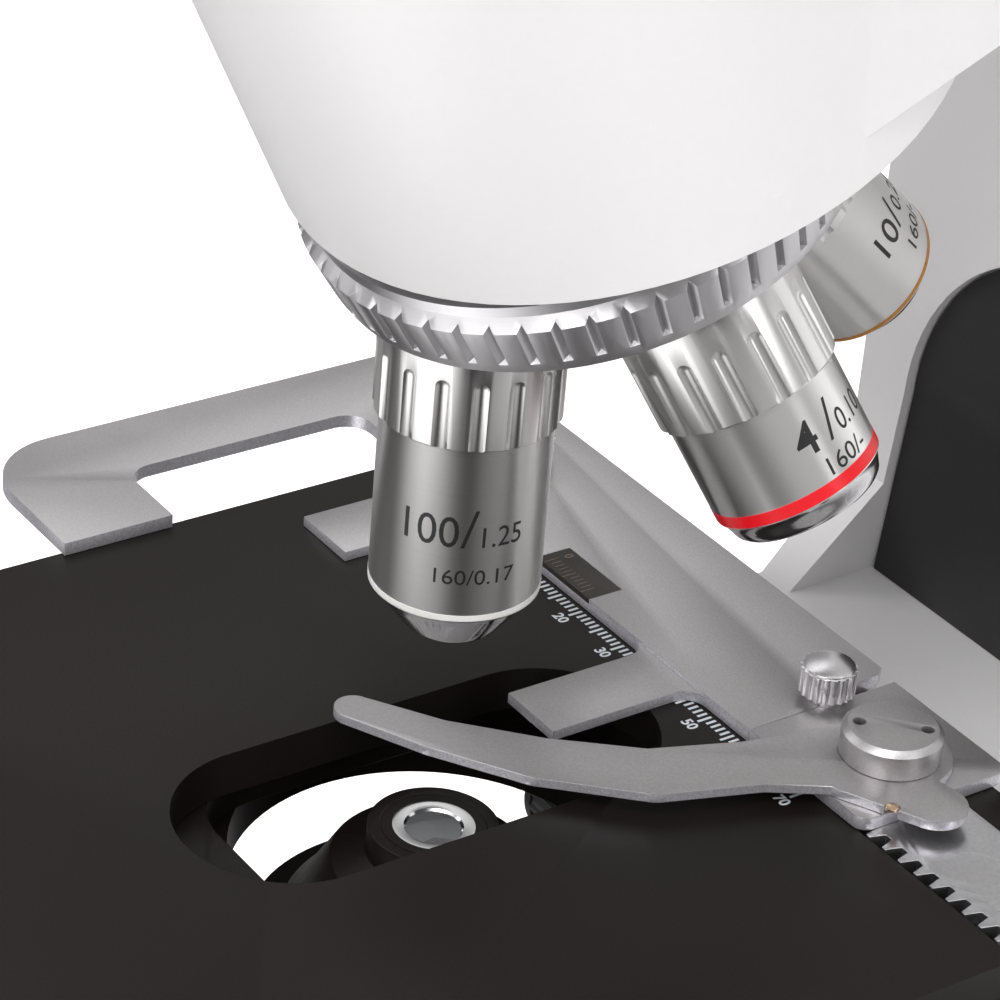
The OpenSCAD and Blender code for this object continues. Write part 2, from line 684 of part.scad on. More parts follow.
module x_knob() color(black) translate([stem_x, stem_y, 0]) {
  translate([0, 0, stage_top - 4.4]) linear_extrude(2.6) rotate(180 / stage_teeth) polygon(gear_points(stage_teeth));
  bar(knob_z - gap - 1, stage_top - 4, core_r);
  translate([0, 0, knob_z - gap - x_knob_h]) fluted(x_knob_r, x_knob_h, 24, 0.7);
}

// Specimen holder. The slide runs in the plate's groove and carries the bar and the pivot plate
holder_z = stage_top + 0.1;
slide_z = stage_top - slide_drop + 0.2;
screw_slot = bar_right + 1.15;
screw_y = 53.2;
thumb_at = [[screw_slot, screw_y], [-57, screw_y]];
screw_r = 1.45;
screw_hole_r = 1.5;
module x_slide() color(steel) difference() {
  union() {
    translate([stem_x, stem_y + stage_pitch_r, slide_z]) rotate([0, 0, 180])
      linear_extrude(holder_z - slide_z) polygon(rack_points(-3, 19, 2));
    box([-62, stem_y + stage_pitch_r + 1.25 * gear_m, slide_z], [stem_x + 3 * PI * gear_m, slide_back, holder_z]);
  }
  for (p = thumb_at) translate([p[0], p[1], 0]) bar(slide_z - past, holder_z + past, screw_hole_r);
}

hook_front = -18;
hook_inner = -0.6;
hook_tip = -68;
hook_bar = 13.5;
tab_tip = 16.3;
plate_gap_x = 2.3;
seam = 0.05;
tabs = [[-59.8, -48.7], [-7.9, 2.5]];
module holder_outline() difference() {
  union() {
    translate([hook_left, bar_front]) square([bar_right - hook_left, bar_back - bar_front]);
    translate([bar_right - eps, bar_front]) square([plate_gap_x - seam + eps, screw_y - bar_front]);
    translate([hook_left, hook_front + 12]) square([hook_bar, bar_front - hook_front - 11]);
    translate([hook_left + 12, hook_front]) square([hook_tip - hook_left - 12, hook_inner - hook_front]);
    intersection() {
      translate([hook_left + 12, hook_front + 12]) circle(12);
      translate([hook_left, hook_front]) square(12 + eps);
    }
    translate([hook_left + 12 - eps, hook_front + 12 - eps]) square([hook_bar + 3.5 - 12, 10]);
    translate([hook_left + hook_bar - eps, bar_front - 4]) square([4, 4 + eps]);
  }
  translate([hook_left + hook_bar + 4, hook_inner + 4]) circle(4);
  translate([hook_left + hook_bar + 4, bar_front - 4]) circle(4);
  translate([hook_left + hook_bar, hook_inner + 4]) square([8, 10]);
  polygon([[bar_right - 2, bar_back + past], [bar_right + past, bar_back + past], [bar_right + past, bar_back - 3]]);
}
module holder_bar() color(steel) difference() {
  union() {
    between(holder_z, holder_z + holder_t) holder_outline();
    for (t = tabs) between(holder_z, holder_z + tab_t) difference() {
      translate([t[0] - 3, tab_tip]) square([t[1] - t[0] + 6, bar_front - tab_tip + past]);
      for (s = [0, 1]) translate([s == 0 ? t[0] - 3 : t[1] + 3, 0]) {
        translate([0, bar_front - 3]) circle(3);
        translate([-3, tab_tip - past]) square([6, bar_front - tab_tip - 2]);
      }
    }
  }
  box([-34.5, bar_front - past, holder_z + holder_t - 0.8], [-21.7, bar_front + 5.7, holder_z + holder_t + past]);
  for (p = thumb_at) translate([p[0], p[1], 0]) bar(holder_z - past, holder_z + holder_t + past, screw_hole_r);
}
module vernier_plate() color(black)
  box([-34.45, bar_front, holder_z + holder_t - 0.8 + eps], [-21.75, bar_front + 5.65, holder_z + holder_t]);

// Pivot plate, cut away on the right where the finger's lever swings
pivot_right = 38.9;
module pivot_plate() color(steel) difference() {
  union() {
    between(holder_z, holder_z + holder_t) {
      round_rect([bar_right + plate_gap_x, bar_front], [pivot_right, bar_back - 0.6], 2);
      translate([bar_right + plate_gap_x, bar_front]) square([3, bar_back - 0.6 - bar_front]);
      translate([clip_x, clip_y]) circle(9);
    }
    translate([clip_x, clip_y, 0]) bar(holder_z + 1, holder_z + holder_t + finger_t + 3, 3);
  }
  translate([thumb_at[0][0], thumb_at[0][1], 0]) bar(holder_z - past, holder_z + holder_t + past, screw_hole_r);
}

// Domed thumbscrews with a fluted rim
thumb_neck_r = 2.4;
thumb_neck_h = 1.4;
thumb_top = 5.2;
dome_r = 9;
module thumbscrews() color(steel) for (p = thumb_at) translate([p[0], p[1], 0]) {
  bar(slide_z + 1, holder_z + holder_t + 1, screw_r);
  translate([0, 0, holder_z + holder_t]) difference() {
    turned() {
      square([thumb_neck_r, thumb_neck_h + eps]);
      translate([0, thumb_neck_h]) square([thumb_r, thumb_top - thumb_neck_h]);
      intersection() {
        translate([0, thumb_top - dome_r + 1]) circle(dome_r);
        translate([0, thumb_top - eps]) square([thumb_r - 0.4, 4]);
      }
    }
    for (k = [0 : 19]) rotate(18 * k) translate([thumb_r + 0.2, 0, thumb_neck_h - past])
      cylinder(r = 0.45, h = 9, $fn = 16);
  }
}

// Spring finger: a bent blade of five belts, its lever, its hub round the pivot post
finger_z = holder_z + holder_t + 0.05;
finger_line = [[-12.4, -5.4, 2.7], [-1.9, 0.75, 3.45], [9.1, 9.6, 4.75], [18.45, 20.65, 5.2], [23.25, 34.1, 4.95],
  [clip_x, clip_y, 8.4]];
lever_end = [41.6, 49];
module clip_finger() color(steel) difference() {
  between(finger_z, finger_z + finger_t) {
    for (i = [1 : len(finger_line) - 1]) {
      a = finger_line[i - 1];
      b = finger_line[i];
      belt([a[0], a[1]], a[2], [b[0], b[1]], b[2]);
    }
    belt([clip_x + 1, clip_y - 6], 6, lever_end, 4.4);
  }
  translate([clip_x, clip_y, 0]) bar(finger_z - past, finger_z + 9, 3 + fit);
  translate([39.7, 43.4, 0]) bar(finger_z - past, finger_z + 9, 1);
}
module clip_cap() color(steel) translate([clip_x, clip_y, finger_z + finger_t + 0.1]) difference() {
  turned() polygon([[0, 0], [cap_r, 0], [cap_r, cap_h - 0.8], [cap_r - 0.8, cap_h], [0, cap_h]]);
  bar(-past, cap_h - 1.2, 5.2);
  for (a = [49, 229]) rotate(a) translate([4.5, 0, 0]) bar(cap_h - 2, cap_h + past, 0.9);
}

// Flat-wound torsion spring inside the cap, swept from a helix
spring_r = 4.2;
wire_r = 0.35;
wire_sides = 6;
coil_steps = 20;
coil_turns = 2;
module clip_spring() color(steel) translate([clip_x, clip_y, finger_z + finger_t + 0.6]) {
  n = coil_steps * coil_turns;
  pts = [for (i = [0 : n], k = [0 : wire_sides - 1])
    let (a = 360 * i / coil_steps, b = -360 * k / wire_sides, r = spring_r + wire_r * cos(b))
    [r * cos(a), r * sin(a), 0.9 * i / coil_steps + wire_r * sin(b)]];
  polyhedron(points = pts, faces = concat(
    [[for (k = [0 : wire_sides - 1]) k]],
    [for (i = [0 : n - 1], k = [0 : wire_sides - 1])
      [i * wire_sides + k, (i + 1) * wire_sides + k, (i + 1) * wire_sides + (k + 1) % wire_sides,
       i * wire_sides + (k + 1) % wire_sides]],
    [[for (k = [wire_sides - 1 : -1 : 0]) n * wire_sides + k]]));
}

// Condenser: bracket on the carrier's dovetail, body with its lens, iris ring, filter holder
condenser_top = stage_top - condenser_drop;
ring_z = [112, 123];
pinion_c = [condenser_rack_y - stage_pitch_r, 104];
lug = [-24.6, 10.5];
block_y = [47.5, 63.7];
block_half = 18;
module condenser_carrier() color(grey) difference() {
  union() {
    ring(ring_z[0], ring_z[1], body_r + ring_t, body_r + fit);
    between(100, 119) difference() {
      translate([-12, 0]) square([24, block_y[0] + 1]);
      circle(body_r + ring_t - 1);
    }
    between(95, 119) round_rect([-block_half, block_y[0]], [block_half, block_y[1]], 2);
    translate(lug) bar(100, ring_z[0] + 4, 3.4);
  }
  between(90, ring_z[1] + past) dove_outline(0.1);
  between(90, 130) translate([-dove_half, front_y[0] - 1]) square([2 * dove_half, 3]);
  box([rack_x[0] - 0.4, pinion_c[0] - stage_pitch_r - gear_m - gap, 90],
    [rack_x[1] + 0.4, block_y[1] + past, ring_z[1] + past]);
  to_x([-block_half - past, pinion_c[0], pinion_c[1]]) bar(0, 2 * block_half, 2 + fit);
  bar(99, ring_z[1] + past, body_r + fit);
  translate(lug) bar(99, 120, 1.5 + fit);
}
module condenser_knob() color(black) {
  to_x([rack_x[0] + 0.4, pinion_c[0], pinion_c[1]]) linear_extrude(5) rotate(180 / stage_teeth)
    polygon(gear_points(stage_teeth));
  to_x([-front_half - 5, pinion_c[0], pinion_c[1]]) bar(0, front_half + 5 + rack_x[0] + 1, 2);
  to_x([-front_half - 13, pinion_c[0], pinion_c[1]]) fluted(condenser_knob_r, 12, 20, 0.6);
}
iris_z = [104.5, 109.5];
module condenser_body() color(black) difference() {
  turned() polygon([[14, 101], [16, 101], [17.6, 103], [17.6, iris_z[1] + 1], [body_r + 1, iris_z[1] + 1],
    [body_r + 1, ring_z[0] - eps], [body_r, ring_z[0] - eps], [body_r, ring_z[1] + 3], [body_r - 1.5, ring_z[1] + 4.5],
    [13.5, lower_z - 1.5], [condenser_top_r, condenser_top - 4], [condenser_top_r, condenser_top],
    [condenser_top_r - 1.8, condenser_top], [condenser_top_r - 1.8, condenser_top - 6], [11, ring_z[1]],
    [14, ring_z[0]]]);
}
module condenser_lens() color(glass) {
  intersection() {
    bar(condenser_top - 5.5, condenser_top + 1, condenser_top_r - 1.85);
    translate([0, 0, condenser_top - 0.3 - 40]) sphere(40);
  }
}
module iris_ring() color(black) difference() {
  union() {
    ring(iris_z[0], iris_z[1], 21.5, 17.6 + gap);
    translate([0, -21, (iris_z[0] + iris_z[1]) / 2]) rotate([90, 0, 0]) bar(0, 13, 1.6);
    translate([0, -34, (iris_z[0] + iris_z[1]) / 2]) sphere(2.6);
  }
  for (i = [0 : 29]) rotate(12 * i + 6) translate([22.2, 0, iris_z[0] - past]) cylinder(r = 1, h = 8, $fn = 16);
}
module filter_holder() color(black) {
  ring(92, 95.5, filter_r + 4, filter_r);
  ring(92, 93, filter_r + 1, filter_r - 1.6);
  difference() {
    between(92, 95.5) belt(lug, 3.4, [-18, 8], 3);
    bar(90, 97, filter_r + 1);
  }
  translate(lug) bar(93, 99.8, 3.4);
  translate(lug) bar(99, 112, 1.5);
  translate([0, -filter_r - 3, 92]) linear_extrude(3.5) belt([0, 0], 4, [0, -6], 2.5);
}

// Turret seat, centre screw, disc with its four threaded seats, and the ring
seat_d = disc_d - gap;
screw_head_r = 6.5;
function cone_d(r) = seat_ring_d - (r - seat_ring_r) * tan(turret_tilt);
module turret_seat() color(black) difference() {
  turret_frame() difference() {
    bar(-seat_d, -rim_d + 2.5, seat_r);
    bar(-seat_d - past, -rim_d + 4, pivot_r + snug);
  }
  bar(apex_z - 60, apex_z, light_bore);
}
module turret_screw() color(steel) turret_frame() {
  d = cone_d(screw_head_r + 0.5);
  difference() {
    union() {
      bar(-d - 0.1, -rim_d + 2.5, pivot_r);
      bar(-d - 2.6, -d - 0.1, screw_head_r);
    }
    box([-6, -0.6, -d - 3], [6, 0.6, -d - 1.6]);
  }
}
module turret_disc() color(black) turret_frame() difference() {
  inner = ring_r - ring_wall;
  turned() polygon([[pivot_r + fit, -disc_d], [inner, -disc_d], [inner, -cone_d(inner)],
    [screw_head_r + 0.5, -cone_d(screw_head_r + 0.5)], [pivot_r + fit, -cone_d(screw_head_r + 0.5)]]);
  for (phi = [0 : 90 : 270]) objective_frame(phi) {
    bar(-shoulder_l - 3, -shoulder_l + thread_h + 1, thread_r + fit);
    bar(-shoulder_l, -shoulder_l + 30, 7);
  }
}
grip_d = disc_d + 0.7;
grip_cut = 1;
chamfer_h = 1.7;
module turret_ring() color(grey) turret_frame() difference() {
  inner = ring_r - ring_wall;
  neck_r = ring_top_r - 1.6;
  turned() polygon([[inner + fit, -disc_d + collar_h], [neck_r, -disc_d + collar_h], [neck_r, -grip_d + 1.2],
    [ring_top_r, -grip_d], [ring_r + 0.5, -ring_d + chamfer_h], [ring_r, -ring_d], [inner + fit, -cone_d(inner)]]);
  for (i = [0 : ring_facets - 1]) rotate(i * 360 / ring_facets)
    translate([ring_top_r - grip_cut, 0, -grip_d]) rotate([0, grip_lean, 0])
      translate([0, 0, grip_d - ring_d + chamfer_h]) linear_extrude(ring_h) polygon([[0, 0], [2, -1.3], [2, 1.3]]);
}
grip_lean = atan2(ring_top_r - ring_r - 0.5, ring_d - chamfer_h - grip_d);

flute_r = 1.3;
flute_deep = 0.55;
flute_h = 8.4;
// An objective, given its axis distances to the colour ring's lower edge and to the tip
module objective(ring_l, tip_l, tip_r, front_r) difference() {
  sleeve_l = shoulder_l + sleeve_h;
  turned() polygon([[7, -shoulder_l + thread_h], [thread_r, -shoulder_l + thread_h], [thread_r, -shoulder_l],
    [sleeve_r - 0.5, -shoulder_l], [sleeve_r, -shoulder_l - 0.5], [sleeve_r, -sleeve_l + 0.3], [sleeve_r - 0.3, -sleeve_l],
    [barrel_r, -sleeve_l], [barrel_r, -ring_l], [barrel_r - 0.4, -ring_l - 0.4], [tip_r + 0.4, -tip_l + 0.4],
    [tip_r, -tip_l], [front_r, -tip_l], [front_r, -tip_l + 2], [7, -tip_l + 9], [7, -shoulder_l]]);
  for (i = [0 : 15]) rotate(22.5 * i + 16) translate([sleeve_r + flute_r - flute_deep, 0, flute_h - sleeve_l]) {
    translate([0, 0, -flute_h - past]) cylinder(r = flute_r, h = flute_h + past, $fn = 48);
    sphere(flute_r, $fn = 48);
  }
}
module place(phi) { turret_frame() objective_frame(phi) children(); }
ring_4 = tip_4 - 3;
ring_10 = tip_10 - 2.9;
ring_100 = tip_100 - 6.15;
ring_40 = tip_40 - 6.15;
module objective_4() color(steel) place(90) objective(ring_4, tip_4, 9.4, 6.6);
module objective_10() color(steel) place(180) objective(ring_10, tip_10, 8.6, 4);
module objective_40() color(steel) place(270) objective(ring_40, tip_40, 5.6, 2.2);
module objective_100() color(steel) place(0) objective(ring_100, tip_100, 6, 1.8);
module front_lens(tip_l, r) { bar(-tip_l + 0.4, -tip_l + 1.8, r); }
module objective_lenses() color(glass) {
  place(90) front_lens(tip_4, 6.6);
  place(180) front_lens(tip_10, 4);
  place(270) front_lens(tip_40, 2.2);
  place(0) front_lens(tip_100, 1.8);
}

// Head clamp screw in the arm's round seat
head_screw_r = 3.6;
module head_screw() color(black) rotate([0, 0, -35]) to_x([0, 0, arm_top + screw_up]) {
  bar(dovetail_r + fit, dovetail_r + 11, 2);
  translate([0, 0, dovetail_r + 9.4]) fluted(head_screw_r, 9, 12, 0.45);
}

// Head: body cut to a slanted front, hinge flange, post for the eyetube arms
module hinge_frame() { translate([0, -hinge_front, hinge_z]) rotate([90 - eye_slope, 0, 0]) children(); }
head_low = arm_top + seat_ring_h + 2.5;
flange_h = 4;
arm_t = 6;
hub_r = 17;
post_r = 6;
socket_r = 18.5;
arm_gap = gap;
rod_z = 340;
module head_side() {
  up = [cos(90 - eye_slope), sin(90 - eye_slope)];
  face = [-hinge_front, hinge_z];
  s1 = (head_top - hinge_z) / up[1];
  s0 = (head_low + 4 - hinge_z) / up[1];
  difference() {
    polygon([face + s1 * up, [38, head_top], [38, head_low], face + s0 * up + [6, -4], face + s0 * up]);
    difference() {
      translate([24, head_top - 14]) square(15);
      translate([24, head_top - 14]) circle(14);
    }
  }
}
module head_body() color(white) {
  difference() {
    union() {
      intersection() {
        along_x(-head_half, head_half) head_side();
        between(head_low - past, head_top + past) round_rect([-head_half, -60], [head_half, 38], 22);
      }
      hinge_frame() bar(-8, flange_h, hub_r + 10);
      bar(arm_top - head_recess + 0.2, head_low + past, dovetail_r);
    }
    bar(arm_top - head_recess - past, head_top + past, eye_bore_r);
    to_x([-12, 6, rod_z]) bar(0, 60, 3 + fit);
    hinge_frame() bar(-30, flange_h + past, 3);
  }
  hinge_frame() bar(-8 + eps, flange_h + 2 * arm_t + 2 * arm_gap, post_r);
}
module splitter_rod() color(steel) {
  to_x([-8, 6, rod_z]) bar(0, head_half + 9, 3);
  to_x([head_half + gap, 6, rod_z]) fluted(6.5, 9, 16, 0.5);
}
module photo_tube() color(white) difference() {
  turned() polygon([[eye_bore_r, head_top], [photo_r + 5, head_top], [photo_r + 5, head_top + 3], [photo_r, head_top + 5],
    [photo_r, head_top + photo_h], [eye_bore_r, head_top + photo_h]]);
}
module photo_cap() color(black) difference() {
  union() {
    translate([0, 0, head_top + photo_h - 8]) fluted(photo_r + 3, 13, 36, 0.5);
  }
  bar(head_top + photo_h - 9, head_top + photo_h, photo_r + fit);
}

// Eyetube arms: the right arm lies next to the flange, the left arm over it
eye_up = sqrt(swing_r * swing_r - eye_half * eye_half);
module eye_arm(side, layer) hinge_frame() {
  c = [side * eye_half, eye_up];
  z0 = flange_h + arm_gap + layer * (arm_t + arm_gap);
  sock = flange_h + 2 * arm_t + 2 * arm_gap;
  difference() {
    union() {
      between(z0, z0 + arm_t) belt([0, 0], hub_r, c, socket_r - 0.1);
      translate(c) bar(flange_h + arm_gap, sock, socket_r);
      translate(c) bar(sock - eps, eyetube_end, eyetube_r);
    }
    bar(z0 - past, z0 + arm_t + past, post_r + fit);
    translate(c) bar(eyetube_end - 26, eyetube_end + past, eye_bore_r);
    translate(c) bar(flange_h, eyetube_end, eye_bore_r - 2);
  }
}
module right_eye_arm() color(white) eye_arm(1, 0);
module left_eye_arm() color(white) eye_arm(-1, 1);
module eyepiece(side) color(black) hinge_frame() translate([side * eye_half, eye_up, eyetube_end]) difference() {
  turned() polygon([[8, -24], [eye_bore_r - fit, -24], [eye_bore_r - fit, 0], [16, 0], [16.5, 1], [16.5, 16], [15, 18],
    [14.6, eyepiece_l - 14], [16.4, eyepiece_l - 12], [16.4, eyepiece_l - 2], [14.4, eyepiece_l], [12, eyepiece_l - 4],
    [10, eyepiece_l - 8], [0, eyepiece_l - 9], [0, 4], [8, 0]]);
  for (i = [0 : 23]) rotate(15 * i) translate([17, 0, 4]) cylinder(r = 0.9, h = 9, $fn = 16);
}
module right_eyepiece() eyepiece(1);
module left_eyepiece() eyepiece(-1);
module diopter_ring() color(black) hinge_frame() translate([-eye_half, eye_up, 0]) difference() {
  ring(42, 54, eyetube_r + 2.8, eyetube_r + fit);
  for (i = [0 : 29]) rotate(12 * i) translate([eyetube_r + 3.4, 0, 44.5]) cylinder(r = 1, h = 7, $fn = 16);
}

base_casting();
bottom_cover();
rubber_feet();
lamp_collar();
field_lens();
lamp_board();
power_board();
power_inlet();
power_switch();
brightness_dial();
arm_casting();
arm_panel();
focus_guides();
focus_bushes();
turret_seat();
turret_screw();
head_screw();
coarse_shaft();
coarse_knobs();
fine_shaft();
fine_knobs();
tension_ring();
stage_carrier();
focus_rack();
lower_plate();
y_rack();
upper_plate();
stem_housing();
y_knob();
x_knob();
x_slide();
holder_bar();
vernier_plate();
pivot_plate();
thumbscrews();
clip_cap();
clip_spring();
clip_finger();
condenser_carrier();
condenser_body();
condenser_lens();
condenser_knob();
iris_ring();
filter_holder();
turret_disc();
turret_ring();
objective_4();
objective_10();
objective_40();
objective_100();
objective_lenses();
head_body();
photo_tube();
splitter_rod();
photo_cap();
right_eye_arm();
right_eyepiece();
left_eye_arm();
left_eyepiece();
diopter_ring();
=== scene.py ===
# %% [markdown]
# A trinocular microscope, dressed for the camera. The metal and plastic pieces were modelled
# before, in millimetre-true solids, and come in as a fixed frame. This lesson gives each of them
# rounded edges, its real finish, its printed numbers and its studio light. Everything is in
# metres: the bench is z = 0, the optical axis is x = y = 0, and the user sits at -Y.

# %% Load the frame
import json
import math

import bmesh
import bpy
from mathutils import Matrix, Vector


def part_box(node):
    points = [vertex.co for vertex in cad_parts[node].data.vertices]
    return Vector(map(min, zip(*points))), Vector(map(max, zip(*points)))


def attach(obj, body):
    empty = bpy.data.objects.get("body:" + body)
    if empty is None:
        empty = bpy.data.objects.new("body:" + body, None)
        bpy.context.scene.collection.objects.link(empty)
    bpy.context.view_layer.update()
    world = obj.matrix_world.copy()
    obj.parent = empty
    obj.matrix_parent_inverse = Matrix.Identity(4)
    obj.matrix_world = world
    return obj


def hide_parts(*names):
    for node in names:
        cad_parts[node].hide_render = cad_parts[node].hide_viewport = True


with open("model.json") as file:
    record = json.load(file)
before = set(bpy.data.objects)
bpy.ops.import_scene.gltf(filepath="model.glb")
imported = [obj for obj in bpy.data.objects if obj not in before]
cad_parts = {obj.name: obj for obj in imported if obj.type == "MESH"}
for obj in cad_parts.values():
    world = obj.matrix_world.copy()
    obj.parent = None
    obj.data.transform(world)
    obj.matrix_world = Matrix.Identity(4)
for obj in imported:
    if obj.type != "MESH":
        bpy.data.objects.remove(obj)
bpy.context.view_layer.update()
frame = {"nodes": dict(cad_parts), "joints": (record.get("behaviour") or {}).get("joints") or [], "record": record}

record = frame["record"]
body_of = {n: b for b, ns in record["behaviour"]["bodies"].items() for n in ns}
joint = {j["name"]: j for j in frame["joints"]}
MM = 0.001

# %% [markdown]
# The camera comes first. The photograph looks down on the stage from the front right through a
# long lens, so the stage edges stay almost parallel. Its turn, height, roll and distance were
# solved from the scale on the stage and from the round rims of the objectives.

# %% Camera at the photograph's viewing angle
VIEW_TARGET = Vector((0.0, 6.17, 188.34)) * MM
VIEW_TURN = math.radians(53.165)
VIEW_RISE = math.radians(30.049)
VIEW_ROLL = math.radians(4.995)
VIEW_DISTANCE = 473.8 * MM
SENSOR_MM = 36.0
FOCAL_OF_FRAME = 3.7638  # focal length over the width of the picture
FAR_CLIP = 20.0

side = Vector((math.cos(VIEW_TURN), math.sin(VIEW_TURN), 0.0))
back = Vector((math.cos(VIEW_RISE) * side.y, -math.cos(VIEW_RISE) * side.x, math.sin(VIEW_RISE)))
rise = back.cross(side)
cam_x = side * math.cos(VIEW_ROLL) + rise * math.sin(VIEW_ROLL)
cam_y = rise * math.cos(VIEW_ROLL) - side * math.sin(VIEW_ROLL)
camera_data = bpy.data.cameras.new("photo_camera")
camera_data.sensor_width = SENSOR_MM
camera_data.lens = SENSOR_MM * FOCAL_OF_FRAME
camera_data.clip_end = FAR_CLIP
camera = bpy.data.objects.new("photo_camera", camera_data)
bpy.context.scene.collection.objects.link(camera)
turn = Matrix((cam_x, cam_y, back)).transposed().to_4x4()
camera.matrix_world = Matrix.Translation(VIEW_TARGET + back * VIEW_DISTANCE) @ turn
bpy.context.scene.camera = camera
print("camera at", [round(v, 3) for v in camera.matrix_world.translation])

# %% [markdown]
# Finishes that several pieces share are small shader groups: grain for cast and blasted metal and
# for moulded plastic, and turning marks for anything that came off a lathe. Each group only puts
# out a mask, so the Principled shader and its plain numbers stay in the material.

# %% Helpers for materials
def new_material(name, colour, metallic, roughness, **sockets):
    """A plain Principled material. Other sockets are named with _ for a space."""
    mat = bpy.data.materials.new(name)
    mat.use_nodes = True
    shader = mat.node_tree.nodes["Principled BSDF"]
    shader.inputs["Base Color"].default_value = (*colour, 1.0)
    shader.inputs["Metallic"].default_value = metallic
    shader.inputs["Roughness"].default_value = roughness
    for socket, value in sockets.items():
        shader.inputs[socket.replace("_", " ")].default_value = value
    return mat


def group_sockets(tree, inputs, outputs):
    """Gives a group its number inputs, each with a default, and its number outputs."""
    for name, value in inputs.items():
        socket = tree.interface.new_socket(name, in_out="INPUT", socket_type="NodeSocketFloat")
        socket.default_value = value
    for name in outputs:
        tree.interface.new_socket(name, in_out="OUTPUT", socket_type="NodeSocketFloat")


def vector_input(tree, name):
    tree.interface.new_socket(name, in_out="INPUT", socket_type="NodeSocketVector")


print("materials that came with the frame", len(bpy.data.materials))

# %% [markdown]
# Sprayed paint, cast metal and blasted plates have a fine, uneven grain, and over the width of a
# hand it drifts a little. A scanned picture could give that, but two noise textures need no
# picture and no unwrapping. The fine one is the grain, the slow one is the drift.

# %% Group: grain, a mask of fine irregular spots with a slow drift over them
DRIFT_SIZE = 30 * MM


def grain_group():
    tree = bpy.data.node_groups.new("grain", "ShaderNodeTree")
    vector_input(tree, "Place")
    group_sockets(tree, {"Size": 0.4 * MM, "Drift": DRIFT_SIZE}, ["Grain", "Drift"])
    nodes, links = tree.nodes, tree.links
    source = nodes.new("NodeGroupInput")
    sink = nodes.new("NodeGroupOutput")
    scale = nodes.new("ShaderNodeMath")
    scale.operation = "DIVIDE"
    scale.inputs[0].default_value = 1.0
    fine = nodes.new("ShaderNodeTexNoise")
    fine.inputs["Detail"].default_value = 3.0
    fine.inputs["Roughness"].default_value = 0.6
    slow_scale = nodes.new("ShaderNodeMath")
    slow_scale.operation = "DIVIDE"
    slow_scale.inputs[0].default_value = 1.0
    slow = nodes.new("ShaderNodeTexNoise")
    slow.inputs["Detail"].default_value = 2.0
    links.new(source.outputs["Size"], scale.inputs[1])
    links.new(source.outputs["Drift"], slow_scale.inputs[1])
    links.new(source.outputs["Place"], fine.inputs["Vector"])
    links.new(source.outputs["Place"], slow.inputs["Vector"])
    links.new(scale.outputs[0], fine.inputs["Scale"])
    links.new(slow_scale.outputs[0], slow.inputs["Scale"])
    links.new(fine.outputs["Fac"], sink.inputs["Grain"])
    links.new(slow.outputs["Fac"], sink.inputs["Drift"])
    return tree


GRAIN = grain_group()
print("shader group", GRAIN.name, "nodes", len(GRAIN.nodes))

# %% [markdown]
# The tool of a lathe leaves rings round the axis, closer than the eye can count. As real grooves
# they would cost millions of faces. Noise of one dimension, read along the axis, gives the same
# rings for nothing, because all the points at one height get one value.

# %% Group: turning marks, rings that run round the piece's own Z axis
def turning_group():
    tree = bpy.data.node_groups.new("turning_marks", "ShaderNodeTree")
    vector_input(tree, "Place")
    group_sockets(tree, {"Pitch": 0.2 * MM}, ["Marks"])
    nodes, links = tree.nodes, tree.links
    source = nodes.new("NodeGroupInput")
    sink = nodes.new("NodeGroupOutput")
    split = nodes.new("ShaderNodeSeparateXYZ")
    ratio = nodes.new("ShaderNodeMath")
    ratio.operation = "DIVIDE"
    fine = nodes.new("ShaderNodeTexNoise")
    fine.noise_dimensions = "1D"
    fine.inputs["Scale"].default_value = 1.0
    fine.inputs["Detail"].default_value = 4.0
    fine.inputs["Roughness"].default_value = 0.7
    links.new(source.outputs["Place"], split.inputs[0])
    links.new(split.outputs["Z"], ratio.inputs[0])
    links.new(source.outputs["Pitch"], ratio.inputs[1])
    links.new(ratio.outputs[0], fine.inputs["W"])
    links.new(fine.outputs["Fac"], sink.inputs["Marks"])
    return tree


TURNING = turning_group()
print("shader group", TURNING.name, "nodes", len(TURNING.nodes))

# %% [markdown]
# A finish looks real when its colour, its relief and its gloss belong together. They could have a
# texture each, but then a pale speck and a raised one would lie side by side. Here the colour and
# the relief follow the same grain, and the gloss follows the slow drift over it.

# %% A material with grain
GRAIN_RANGE = (0.3, 0.7)  # the noise seldom leaves this range, so it is spread over the swing
DRIFT_RANGE = (0.35, 0.65)


def two_tones(nodes, links, colour, swing, mask, shader):
    """Mixes a darker and a lighter shade of a colour by a mask, into the base colour."""
    mix = nodes.new("ShaderNodeMix")
    mix.data_type = "RGBA"
    mix.inputs["A"].default_value = (*[c * (1 - swing) for c in colour], 1.0)
    mix.inputs["B"].default_value = (*[min(1.0, c * (1 + swing)) for c in colour], 1.0)
    links.new(mask, mix.inputs["Factor"])
    links.new(mix.outputs["Result"], shader.inputs["Base Color"])


